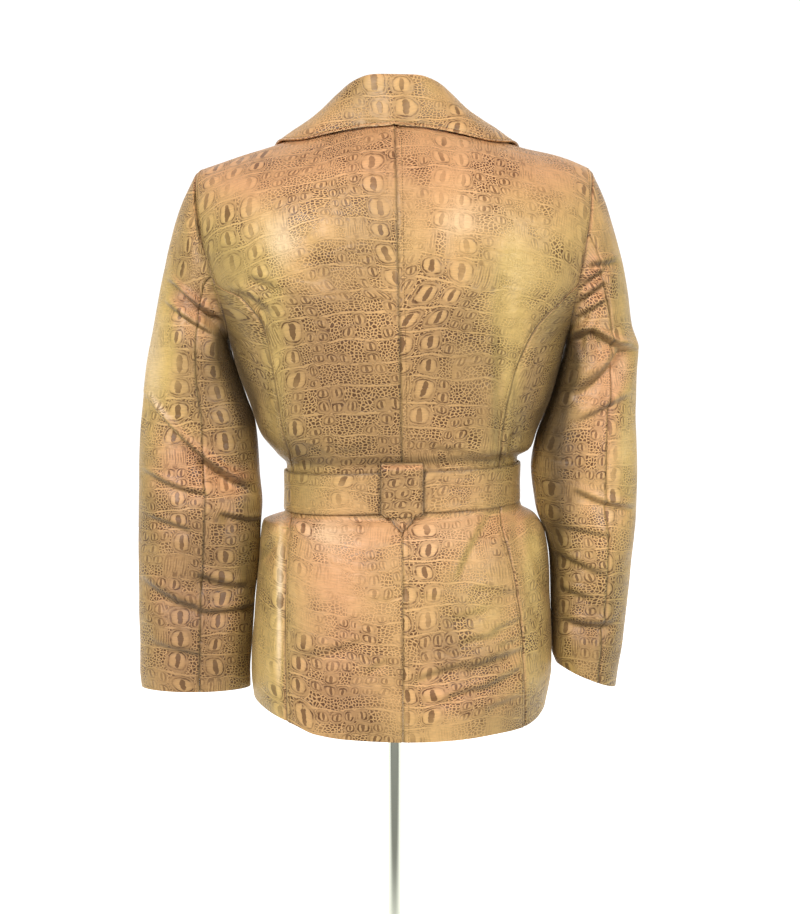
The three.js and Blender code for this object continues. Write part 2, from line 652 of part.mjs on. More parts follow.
// The keeper tab is sewn above and below the belt and lies over it
function tabPiece() {
  const outer = [];
  const inner = [];
  const over = (level) => ease((TAB_TOP - 1 - level) / 8) * ease((level - TAB_LOWER_SEAM) / 9);
  for (let i = 0; i <= 4; i += 1) {
    const share = i / 2 - 1;
    const out = [];
    const under = [];
    const tip = mix(TAB_TIP, TAB_SIDE_END, Math.abs(share));
    const point = [0, 1, 2, 3].map((k) => mix(TAB_SIDE_END + 5, tip, k / 3));
    for (const level of [TAB_TOP, 576, 571, 560, 547, 536, ...point]) {
      const x = TAB_MIDDLE_X + (share * TAB_WIDE) / 2;
      const angle = angleOf(x, level, -1);
      const normal = bodyNormal(angle, level);
      const lift = TAB_GAP + (BELT_GAP + BELT_CLOTH + 0.8) * over(level);
      const p = bodyAt(angle, level).addScaledVector(normal, lift);
      under.push(p);
      out.push(p.clone().addScaledVector(normal, TAB_CLOTH));
    }
    outer.push(out);
    inner.push(under);
  }
  return shell(outer, inner);
}

// The torso of the dress form follows the inside of the jacket and ends in plain caps at the arms
function formTorso() {
  const rings = [];
  const count = 14; // points across the back, and as many across the front
  const ringAt = (level, shrink) => {
    const at = Math.min(level, CHEST);
    const inset = FORM_INSET + shrink;
    const side = (key) => {
      const sign = key === "Left" ? -1 : 1;
      const low = sign * body[key.toLowerCase()](at) - inset;
      const high = sign * armhole["front" + key](level) - 10;
      return sign * mix(low, high, ease((level - 690) / 60));
    };
    const left = side("Left");
    const right = side("Right");
    const ring = [];
    const place = (share, face) => {
      const x = mix(left, right, (share + 1) / 2);
      const close = Math.sqrt(Math.max(1 - Math.abs(share) ** 8, 0));
      const p = onBody(x, at, face);
      const reach = Math.max(Math.abs(p.y) - inset, 2) * close;
      if (level <= CHEST) return vector(x, face * reach, level);
      const lean = ((TOP - level) / (TOP - CHEST)) * (Math.PI / 2);
      const slack = 0.5 + 9 * ease((84 - Math.abs(x)) / 30);
      const drop = (CLOTH + slack) / Math.cos(Math.atan(SHOULDER_SLOPE));
      const y = RIDGE_Y + (face * reach - RIDGE_Y) * Math.sin(lean);
      return vector(x, y, CHEST + (ridge(x) - drop - CHEST) * Math.cos(lean));
    };
    for (let k = 0; k < count; k += 1) {
      ring.push(place(-Math.cos((Math.PI * k) / count), -1));
    }
    for (let k = 0; k < count; k += 1) {
      ring.push(place(Math.cos((Math.PI * k) / count), 1));
    }
    return ring;
  };
  rings.push(ringAt(FORM_BOTTOM, 12));
  rings.push(ringAt(FORM_BOTTOM + 4, 4));
  const bump = (level, middle) => Math.exp(-(((level - middle) / 14) ** 2));
  for (const level of [361, 400, 455, 485, 503, 522, 547, 572, 592, 615, 655, 705, 745]) {
    rings.push(ringAt(level, 13 * bump(level, 503) + 8 * bump(level, 592)));
  }
  for (let k = 0; k < SHOULDER_STEPS; k += 1) rings.push(ringAt(mix(JUNCTION, TOP, k / SHOULDER_STEPS), 0));
  rings.push(ringAt(TOP - 1, 0));
  return capped(rings);
}

// A closed solid from rings of points, with a fan at either end
function capped(rings) {
  const size = rings[0].length;
  const centreOf = (ring) => ring.reduce((a, p) => a.add(p), vector(0, 0, 0)).divideScalar(size);
  const list = [...rings.flat(), centreOf(rings[0]), centreOf(rings[rings.length - 1])];
  const points = list.flatMap((p) => [p.x, p.y, p.z]);
  const faces = [];
  const at = (j, k) => j * size + (k % size);
  for (let j = 0; j < rings.length - 1; j += 1) {
    for (let k = 0; k < size; k += 1) {
      faces.push(at(j, k), at(j, k + 1), at(j + 1, k + 1), at(j, k), at(j + 1, k + 1), at(j + 1, k));
    }
  }
  const foot = rings.length * size;
  for (let k = 0; k < size; k += 1) {
    faces.push(foot, at(0, k + 1), at(0, k));
    faces.push(foot + 1, at(rings.length - 1, k), at(rings.length - 1, k + 1));
  }
  return closed(points, faces);
}

// The neck of the form, a short oval column that ends inside the collar
function formNeck() {
  const rows = [
    { z: 880, wide: 62, deep: 58 },
    { z: 920, wide: 56, deep: 52 },
    { z: 945, wide: 51, deep: 48 },
    { z: FORM_NECK_TOP - 4, wide: 49, deep: 46 },
    { z: FORM_NECK_TOP, wide: 45, deep: 42 },
  ];
  const count = 28;
  const rings = rows.map((row) => {
    const ring = [];
    for (let k = 0; k < count; k += 1) {
      const turn = (2 * Math.PI * k) / count;
      ring.push(vector(row.wide * Math.cos(turn), -8 + row.deep * Math.sin(turn), row.z));
    }
    return ring;
  });
  return capped(rings);
}

const wasm = await Module();
wasm.setup();
function toManifold(geometry) {
  return new wasm.Manifold(new wasm.Mesh({
    numProp: 3,
    vertProperties: new Float32Array(geometry.getAttribute("position").array),
    triVerts: new Uint32Array(geometry.getIndex().array),
  }));
}
function fromManifold(solid) {
  const mesh = solid.getMesh();
  const geometry = new THREE.BufferGeometry();
  geometry.setAttribute("position", new THREE.Float32BufferAttribute([...mesh.vertProperties], 3));
  geometry.setIndex([...mesh.triVerts]);
  return geometry;
}
const formSolid = () => fromManifold(toManifold(formTorso()).add(toManifold(formNeck())));

// A rectangular plate with rounded corners and, when a rail is given, a window
function plate(wide, tall, thick, radius, rail) {
  const outline = (path, w, h, r) => {
    path.moveTo(-w + r, -h);
    path.lineTo(w - r, -h);
    path.absarc(w - r, -h + r, r, -Math.PI / 2, 0, false);
    path.absarc(w - r, h - r, r, 0, Math.PI / 2, false);
    path.absarc(-w + r, h - r, r, Math.PI / 2, Math.PI, false);
    path.absarc(-w + r, -h + r, r, Math.PI, 1.5 * Math.PI, false);
    return path;
  };
  const shape = outline(new THREE.Shape(), wide / 2, tall / 2, radius);
  if (rail) {
    shape.holes.push(outline(new THREE.Path(), wide / 2 - rail, tall / 2 - rail, radius / 2));
  }
  const bevel = thick / 5;
  const geometry = new THREE.ExtrudeGeometry(shape, {
    depth: thick - 2 * bevel,
    bevelEnabled: true,
    bevelThickness: bevel,
    bevelSize: bevel,
    bevelOffset: -bevel,
    bevelSegments: 1,
    curveSegments: 4,
  });
  return geometry.translate(0, 0, bevel).rotateX(Math.PI / 2).rotateZ(Math.PI);
}

const beltFront = () => bodyAt(Math.PI, BELT_MIDDLE).y + BELT_GAP + BELT_LAP + BELT_CLOTH + BELT_CUP;
const buckleFrame = () => {
  return plate(BUCKLE_WIDE, BUCKLE_TALL, BUCKLE_THICK, 6, BUCKLE_RAIL)
    .translate(0, beltFront() + 0.35, BELT_MIDDLE);
};
const bucklePin = () => {
  return plate(BUCKLE_WIDE - 3, 4, 2.4, 1.6, 0)
    .translate(0, beltFront() + 0.35 + BUCKLE_THICK + 0.3, BELT_MIDDLE);
};

function lathe(profile, segments) {
  const geometry = new THREE.LatheGeometry(profile.map(([r, z]) => new THREE.Vector2(r, z)), segments);
  return geometry.rotateX(Math.PI / 2);
}
const poleSolid = () => {
  const low = BASE_THICK + 0.3;
  const high = FORM_BOTTOM - 0.3;
  return lathe([[0, low], [POLE_RADIUS, low], [POLE_RADIUS, high], [0, high]], 28);
};
const baseSolid = () => {
  const r = BASE_RADIUS;
  const t = BASE_THICK;
  return lathe([[0, 0], [r - 1, 0], [r, 1], [r, t - 4], [r - 1.2, t - 1.2], [r - 4, t], [0, t]], 56);
};

const jacquard = { color: 0xc79a62, roughness: 0.42, metalness: 0 };
const plainForm = { color: 0xe9e4da, roughness: 0.8, metalness: 0 };
const chrome = { color: 0xcfd3cc, roughness: 0.12, metalness: 1 };
const horn = { color: 0x8a6a45, roughness: 0.4, metalness: 0 };
const paint = { color: 0xd9d9d6, roughness: 0.45, metalness: 0 };

const STATION_COUNT = 2 * SHOULDER_STEPS + SIDE_COLUMNS;
const BACK_SEAM_LEFT = 7;
const BACK_SEAM_RIGHT = 5;
const FRONT_SEAM = 15;
const group = new THREE.Group();
function add(name, geometry, finish) {
  const mesh = new THREE.Mesh(geometry, new THREE.MeshStandardMaterial({ ...finish, name }));
  mesh.name = name;
  group.add(mesh);
}
add("back_left", backPanel(-1), jacquard);
add("back_right", backPanel(1), jacquard);
add("side_left", sidePanel(-1), jacquard);
add("side_right", sidePanel(1), jacquard);
add("front_left", frontPanel(-1), jacquard);
add("front_right", frontPanel(1), jacquard);
add("upper_sleeve_left", sleevePiece(-1, FRONT_SEAM - STATION_COUNT, BACK_SEAM_LEFT), jacquard);
add("under_sleeve_left", sleevePiece(-1, BACK_SEAM_LEFT, FRONT_SEAM), jacquard);
add("upper_sleeve_right", sleevePiece(1, FRONT_SEAM - STATION_COUNT, BACK_SEAM_RIGHT), jacquard);
add("under_sleeve_right", sleevePiece(1, BACK_SEAM_RIGHT, FRONT_SEAM), jacquard);
add("collar", collarPiece(), jacquard);
add("belt", beltPiece(), jacquard);
add("keeper_tab", tabPiece(), jacquard);
add("buckle_frame", buckleFrame(), horn);
add("buckle_pin", bucklePin(), horn);
add("dress_form", formSolid(), plainForm);
add("pole", poleSolid(), chrome);
add("base", baseSolid(), paint);

export default group;
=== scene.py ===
# %% [markdown]
# A belted summer jacket worn by a limbless dress form on a pole.
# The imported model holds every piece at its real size. This script gives each piece of cloth its folds,
# seams, stitches and woven figure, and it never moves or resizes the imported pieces.
# The work starts by loading that model, because every new piece is placed by it.

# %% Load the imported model
import math
import bpy
import numpy as np
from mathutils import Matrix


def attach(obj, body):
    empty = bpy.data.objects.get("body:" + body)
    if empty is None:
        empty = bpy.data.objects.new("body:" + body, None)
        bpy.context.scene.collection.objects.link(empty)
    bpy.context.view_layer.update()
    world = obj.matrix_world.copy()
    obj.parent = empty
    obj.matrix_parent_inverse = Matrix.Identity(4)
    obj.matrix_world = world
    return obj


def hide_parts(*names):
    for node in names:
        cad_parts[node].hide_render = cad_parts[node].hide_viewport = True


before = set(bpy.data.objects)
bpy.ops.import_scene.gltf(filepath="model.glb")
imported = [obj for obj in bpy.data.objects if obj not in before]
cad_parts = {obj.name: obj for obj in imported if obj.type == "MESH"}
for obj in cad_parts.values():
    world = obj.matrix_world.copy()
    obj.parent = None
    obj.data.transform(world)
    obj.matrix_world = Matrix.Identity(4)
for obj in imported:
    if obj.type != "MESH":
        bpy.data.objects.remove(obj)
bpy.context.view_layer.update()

MM = 0.001

# %% [markdown]
# The camera comes first. The photo was taken level with the waist and looks a little down, so the lens
# is worked out from the number of pixels that one metre covers one metre away.

# %% The camera
IMAGE_WIDE = 800
FOCAL_PIXELS = 1909
CAMERA_PLACE = (0.006, -2.1, 0.76)
CAMERA_PITCH = 85
eye = bpy.data.objects.new("camera", bpy.data.cameras.new("camera"))
bpy.context.scene.collection.objects.link(eye)
eye.location = CAMERA_PLACE
eye.rotation_euler = (math.radians(CAMERA_PITCH), 0, 0)
eye.data.sensor_fit = "HORIZONTAL"
eye.data.sensor_width = 36
eye.data.lens = 36 * FOCAL_PIXELS / IMAGE_WIDE
bpy.context.scene.camera = eye
print("lens in mm", round(eye.data.lens, 1))

# %% [markdown]
# Cloth like this is described by a few sections. A table gives where the sides are at some heights, and a
# smooth curve reads it between them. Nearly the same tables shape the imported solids. A few of the
# sleeves' numbers differ here, because the sleeves were shifted until no gap showed beside the body.
# All of them are in millimetres, and a mesh is turned to metres when it is made.

# %% Tables and smooth curves
def table(columns, *rows):
    """Named columns from rows of numbers."""
    return {name: np.array([row[i] for row in rows], float) for i, name in enumerate(columns.split())}


def smooth_step(a, b, slope_a, slope_b, gap, t):
    """A smooth way from a to b over a gap, with the slopes it leaves and arrives at."""
    s = 1 - t
    ends = a * (1 + 2 * t) * s * s + b * (1 + 2 * s) * t * t
    return ends + gap * t * s * (slope_a * s - slope_b * t)


def curve(rows, of, to):
    """A smooth curve through one column of a table, read against another column."""
    at, value = rows[of], rows[to]
    rise = np.diff(value) / np.diff(at)
    product = rise[:-1] * rise[1:]
    total = np.where(product > 0, rise[:-1] + rise[1:], 1)
    slope = np.concatenate([rise[:1], np.where(product > 0, 2 * product / total, 0), rise[-1:]])

    def read(x):
        x = np.asarray(x, float)
        i = np.clip(np.searchsorted(at, x) - 1, 0, len(at) - 2)
        step = at[i + 1] - at[i]
        inside = smooth_step(value[i], value[i + 1], slope[i], slope[i + 1], step, (x - at[i]) / step)
        below = value[0] + slope[0] * (x - at[0])
        above = value[-1] + slope[-1] * (x - at[-1])
        return np.where(x <= at[0], below, np.where(x >= at[-1], above, inside))

    return read


def mix(a, b, t):
    return a + (b - a) * t


def ease(t):
    c = np.clip(t, 0, 1)
    return c * c * (3 - 2 * c)


def hill(x, middle, wide):
    return np.exp(-(((x - middle) / wide) ** 2))


# %% Sections of the body
CHEST, TOP, UNDERARM, JUNCTION = 800, 930, 705, 768
RIDGE_Y, SHOULDER_TIP, SHOULDER_TIP_Z, SHOULDER_SLOPE = -5, 213, 889, 0.33
NAPE_DIP = 40
COLLAR_LEAN = 6
FLATNESS = 0.18
BELT_MIDDLE, BELT_WIDE = 547.3, 43
BODY = table(
    "level left right back front",
    (270, -150, 160, 138, 127), (305, -156, 165, 137, 126), (345, -160, 172, 135, 124),
    (417, -155, 171, 130, 121), (465, -150, 170, 126, 117), (495, -148, 165.5, 119, 111),
    (511, -145, 156, 109, 104), (521, -121.5, 140, 101.5, 98.6), (547, -118, 134.6, 101, 98),
    (576, -118.8, 135.3, 101.5, 98.6), (586, -130, 150.5, 106, 103), (606, -148, 157, 110, 109),
    (639, -160, 170, 114, 117), (672, -172, 180, 118, 124), (705, -181, 188, 122, 128),
    (720, -189, 196, 123, 128), (740, -202, 209, 124, 126), (761, -213, 218, 125, 122),
    (782, -221, 224, 125, 117), (800, -226, 228, 125, 113),
)
SEAMS = table(
    "level middle backLeft backRight frontLeft frontRight",
    (270, 9, -113, 142, -142, 152), (349, 9, -116, 141, -140, 152), (400, 9, -118, 138, -136, 150),
    (454, 9, -118, 129.5, -130, 144), (486, 8.5, -116.5, 122.5, -122, 135),
    (519, 8, -112, 114.5, -108, 124), (573, 8, -111, 113, -107, 123), (612, 7.3, -119, 116.5, -132, 139),
    (658, 6.5, -126, 124, -148, 154), (687, 6, -131, 134, -158, 163), (720, 5.5, -140, 150, -167, 173),
    (750, 4.5, -163, 179, -176, 181), (768, 4.2, -191.5, 196.5, -181, 185),
    (835, 2.5, -210, 209, -200, 199), (930, -1, -213, 213, -213, 213),
)
ARMHOLE = table(
    "level backLeft backRight frontLeft frontRight",
    (705, -181, 188, -181, 188), (720, -179.5, 188.5, -175, 184), (740, -182.7, 190.5, -175.5, 183),
    (768, -191.5, 196.5, -181, 185), (809, -205, 204.5, -192, 192), (832, -209.6, 208.6, -199, 199),
    (860, -214, 211.5, -206, 206), (888, -214.9, 213.5, -211, 211), (930, -213, 213, -213, 213),
)
FRONT_EDGE = table(
    "level x",
    (270, 0.8), (690, 0.8), (720, 13), (760, 29), (800, 43), (840, 54), (880, 64), (910, 69.5), (930, 71),
)
HEM = table(
    "x z",
    (-165, 323), (-130, 308.5), (-107, 300.5), (-86, 292.5), (-50, 289.3), (10, 288.8),
    (60, 289.3), (100, 290.5), (137, 291.5), (152, 295), (165, 303),
)
body = {key: curve(BODY, "level", key) for key in ("left", "right", "back", "front")}
seam = {key: curve(SEAMS, "level", key) for key in SEAMS if key != "level"}
armhole = {key: curve(ARMHOLE, "level", key) for key in ARMHOLE if key != "level"}
front_edge = curve(FRONT_EDGE, "level", "x")
hem = curve(HEM, "x", "z")
print("sections of the body", len(BODY["level"]))


# %% [markdown]
# A point of the jacket's body is found by how far round it lies, as an angle from the middle of the back,
# and by its level. Over the chest the level climbs to the ridge of the shoulder, so that one formula
# gives the back, the sides, the fronts and the shoulders, and neighbouring panels meet by themselves.

# %% A point and an outward direction on the body
def belt_shift(x):
    """The belt lies lower on the left of the picture than on the right."""
    return np.where(x < 0, 0.05 * x, 0.022 * x)


def table_level(x, level):
    return level - belt_shift(x) * hill(level, BELT_MIDDLE, 50)


def ridge(x):
    return SHOULDER_TIP_Z + SHOULDER_SLOPE * (SHOULDER_TIP - np.abs(x)) + 4 * hill(x, 185, 32)


def body_span(level):
    """Middle and half width of the body's section at a level."""
    left, right = body["left"](level), body["right"](level)
    return (left + right) / 2, (right - left) / 2


def body_at(angle, level):
    angle, level = np.broadcast_arrays(np.asarray(angle, float), np.asarray(level, float))
    at = np.minimum(level, CHEST)
    guess = body_span(at)[0] + np.sin(angle) * 150
    used = table_level(guess, at)
    middle, half = body_span(used)
    s, c = np.sin(angle), np.cos(angle)
    depth = np.where(c > 0, body["back"](used), body["front"](used))
    out = 2.6 * np.sin(5 * angle + 0.7) * ease((505 - at) / 160)
    x = middle + (half + out) * s
    y = -(depth + out) * c * (1 + FLATNESS * s * s)
    lean = (TOP - level) / (TOP - CHEST) * (math.pi / 2)
    over = level > CHEST
    y = np.where(over, RIDGE_Y + (y - RIDGE_Y) * np.sin(lean), y)
    z = np.where(over, CHEST + (ridge(x) - CHEST) * np.cos(lean), level)
    return np.stack([x, y, z], -1)


def unit(v):
    return v / np.maximum(np.linalg.norm(v, axis=-1, keepdims=True), 1e-9)


def body_normal(angle, level):
    along = body_at(angle + 0.004, level) - body_at(angle - 0.004, level)
    up = body_at(angle, level + 0.6) - body_at(angle, level - 0.6)
    return unit(np.cross(along, up))


def angle_of(x, level, face):
    """The angle at which the section reaches x, on the back (-1) or the front (1)."""
    used = table_level(x, np.minimum(level, CHEST))
    middle, half = body_span(used)
    angle = np.arcsin(np.clip((x - middle) / half, -0.9999, 0.9999))
    if face < 0:
        return angle
    return np.where(x < middle, -math.pi - angle, math.pi - angle)


waist = body_at(np.linspace(0, 2 * math.pi, 200), BELT_MIDDLE)
print("waist in mm", round(float(np.linalg.norm(np.diff(waist, axis=0), axis=1).sum())))

# %% [markdown]
# A crease in crisp satin isn't a wave. Above its line the cloth turns in sharply and throws a shadow, and
# below it a long facet slopes back out and faces the light. Each crease is given from where it
# starts to where it ends, how deep it is, how far it reaches above and below, and how much it bows.
# They run from left to right, so that "below" is always the same side. Hidden sides get some like them.

# %% Creases of the body and the sleeves
CREASE_COLUMNS = "face x z toX toZ deep above below bow"
BACK, FRONT = -1, 1
CREASE_STRENGTH = 1.5
BODY_CREASES = table(
    CREASE_COLUMNS,
    (BACK, -168, 757, -132, 735, 3.0, 5, 13, -2), (BACK, -152, 772, -122, 760, 1.6, 5, 9, 0),
    (BACK, -138, 740, -128, 596, 1.6, 9, 14, 4), (BACK, 112, 592, 115, 790, 1.7, 7, 12, -3),
    (BACK, 129, 594, 130, 752, 1.4, 6, 8, 0), (BACK, 123, 580, 125, 606, 2.6, 4, 6, 0),
    (BACK, 69, 458, 106, 524, 2.6, 8, 22, -3), (BACK, 22, 352, 84, 368, 1.7, 5, 12, -2),
    (BACK, 78, 362, 139, 376, 2.0, 5, 11, -1), (BACK, 52, 333, 96, 342, 1.5, 4, 9, -1),
    (BACK, 90, 338, 134, 355, 1.8, 5, 10, 0), (BACK, 30, 334, 58, 329, 1.0, 4, 7, 0),
    (BACK, -27, 361, -8, 373, 1.2, 4, 7, 0), (BACK, 72, 392, 110, 396, 1.3, 4, 8, 0),
    (BACK, 104, 400, 138, 410, 1.3, 5, 9, 0), (BACK, 112, 384, 132, 386, 1.0, 4, 6, 0),
    (BACK, 60, 414, 98, 424, 0.8, 5, 8, 0), (BACK, 84, 448, 132, 436, 1.0, 5, 9, 0),
    (BACK, 100, 318, 132, 326, 1.2, 4, 8, 0), (BACK, -104, 372, -36, 391, 1.3, 6, 13, 2),
    (BACK, -124, 330, -121, 516, 2.0, 7, 9, 3), (BACK, -142, 470, -116, 512, 2.6, 5, 9, 0),
    (BACK, 131, 522, 158, 400, 2.4, 7, 12, 3), (BACK, 146, 505, 168, 430, 2.2, 5, 9, 2),
    (BACK, -98, 826, -67, 760, 1.2, 12, 16, 0), (BACK, 50, 752, 62, 812, 1.2, 9, 14, 0),
    (BACK, -60, 588, -20, 600, 0.5, 5, 9, 0), (BACK, 30, 596, 92, 584, 0.6, 5, 9, 0),
    (BACK, -96, 594, -70, 586, 0.7, 4, 8, 0), (FRONT, -150, 742, -104, 716, 2.6, 6, 13, 2),
    (FRONT, 112, 722, 152, 748, 2.4, 6, 12, 0), (FRONT, -96, 486, -60, 420, 2.2, 8, 16, 3),
    (FRONT, 50, 430, 98, 498, 2.2, 8, 16, -3), (FRONT, -110, 372, -28, 352, 1.8, 6, 13, 2),
    (FRONT, 28, 362, 112, 378, 1.8, 6, 12, -2), (FRONT, -84, 600, -40, 588, 1.4, 5, 9, 0),
    (FRONT, 36, 590, 88, 602, 1.4, 5, 9, 0),
)
LEFT_CREASES = table(
    CREASE_COLUMNS,
    (BACK, -240, 766, -181, 725, 6.5, 4, 15, 4), (BACK, -249, 745, -196, 712, 3.0, 4, 12, 2),
    (BACK, -205, 806, -188, 752, 1.8, 5, 8, 0), (BACK, -270, 640, -167, 549, 8.0, 4, 26, 6),
    (BACK, -212, 574, -165, 545, 4.0, 4, 14, 0), (BACK, -272, 560, -207, 538, 3.4, 4, 12, 3),
    (BACK, -187, 516, -143, 506, 4.2, 4, 12, 2), (BACK, -268, 512, -222, 499, 2.2, 4, 10, 0),
    (BACK, -214, 449, -166, 434, 3.6, 5, 14, 2), (BACK, -274, 438, -214, 411, 3.8, 7, 18, 3),
    (BACK, -212, 409, -150, 412, 3.2, 4, 13, 2), (BACK, -266, 372, -212, 360, 1.8, 6, 14, 0),
    (FRONT, -250, 740, -186, 712, 5.0, 5, 15, 3), (FRONT, -268, 640, -176, 600, 6.5, 5, 20, 4),
    (FRONT, -264, 560, -168, 548, 5.0, 5, 16, 2), (FRONT, -258, 470, -172, 455, 3.6, 5, 14, 2),
    (FRONT, -262, 398, -190, 386, 2.6, 5, 12, 0),
)
RIGHT_CREASES = table(
    CREASE_COLUMNS,
    (BACK, 206, 785, 240, 790, 2.8, 4, 9, 1), (BACK, 196, 763, 226, 779, 3.4, 4, 11, 0),
    (BACK, 194, 745, 226, 765, 4.2, 4, 12, 0), (BACK, 194, 729, 226, 746, 3.2, 4, 10, 0),
    (BACK, 192, 705, 214, 714, 6.0, 4, 16, -3), (BACK, 212, 715, 264, 694, 7.0, 4, 24, 4),
    (BACK, 198, 648, 258, 698, 5.5, 9, 16, 2), (BACK, 200, 618, 254, 643, 2.4, 6, 16, 0),
    (BACK, 197, 541, 258, 522, 4.4, 4, 16, 3), (BACK, 178, 470, 226, 450, 2.4, 5, 14, 0),
    (BACK, 186, 500, 232, 492, 1.8, 5, 12, 0), (BACK, 188, 397, 238, 394, 4.4, 6, 13, 2),
    (BACK, 182, 432, 214, 424, 2.0, 5, 10, 0), (FRONT, 192, 712, 252, 740, 5.0, 5, 15, 3),
    (FRONT, 184, 600, 254, 636, 6.0, 5, 18, 4), (FRONT, 176, 548, 250, 556, 5.0, 5, 16, 2),
    (FRONT, 184, 458, 246, 470, 3.4, 5, 14, 2), (FRONT, 188, 386, 242, 396, 2.6, 5, 12, 0),
)


def crease_lift(points, normal, creases):
    """How far the cloth moves out (or in, below 0) at points with an outward direction."""
    x, z = points[..., 0], points[..., 2]
    lift = np.zeros(x.shape)
    for face, x0, z0, x1, z1, deep, above, below, bow in zip(*creases.values()):
        long = math.hypot(x1 - x0, z1 - z0)
        ux, uz = (x1 - x0) / long, (z1 - z0) / long
        t = ((x - x0) * ux + (z - z0) * uz) / long
        inside = np.clip(t, 0, 1)
        off = (x - x0) * uz - (z - z0) * ux - bow * 4 * inside * (1 - inside)
        turned_in = np.exp(-((off / (0.6 * above)) ** 2))
        sloping_out = np.exp(-((np.abs(off) / below) ** 1.5))
        trough = np.where(off < 0, turned_in, sloping_out)
        brow = 0.3 * hill(off, -1.5 * above, above)
        fade = ease((t + 0.16) / 0.36) * ease((1.16 - t) / 0.36)
        facing = ease((face * normal[..., 1] + 0.05) / 0.45)
        lift += deep * (brow - trough) * fade * facing
    return lift * CREASE_STRENGTH


def ripple(u, v):
    """The slight unevenness of cloth that has been worn, in mm, with fixed phases."""
    long = np.sin(u / 17 + 1.3 * np.sin(v / 41)) * np.sin(v / 23 + 0.8 * np.sin(u / 37 + 1))
    short = np.sin(u / 8.3 + 2 * np.sin(v / 29)) * np.sin(v / 12.1 + 1.7)
    return 0.42 * long + 0.16 * short


print("creases", sum(len(rows["deep"]) for rows in (BODY_CREASES, LEFT_CREASES, RIGHT_CREASES)))
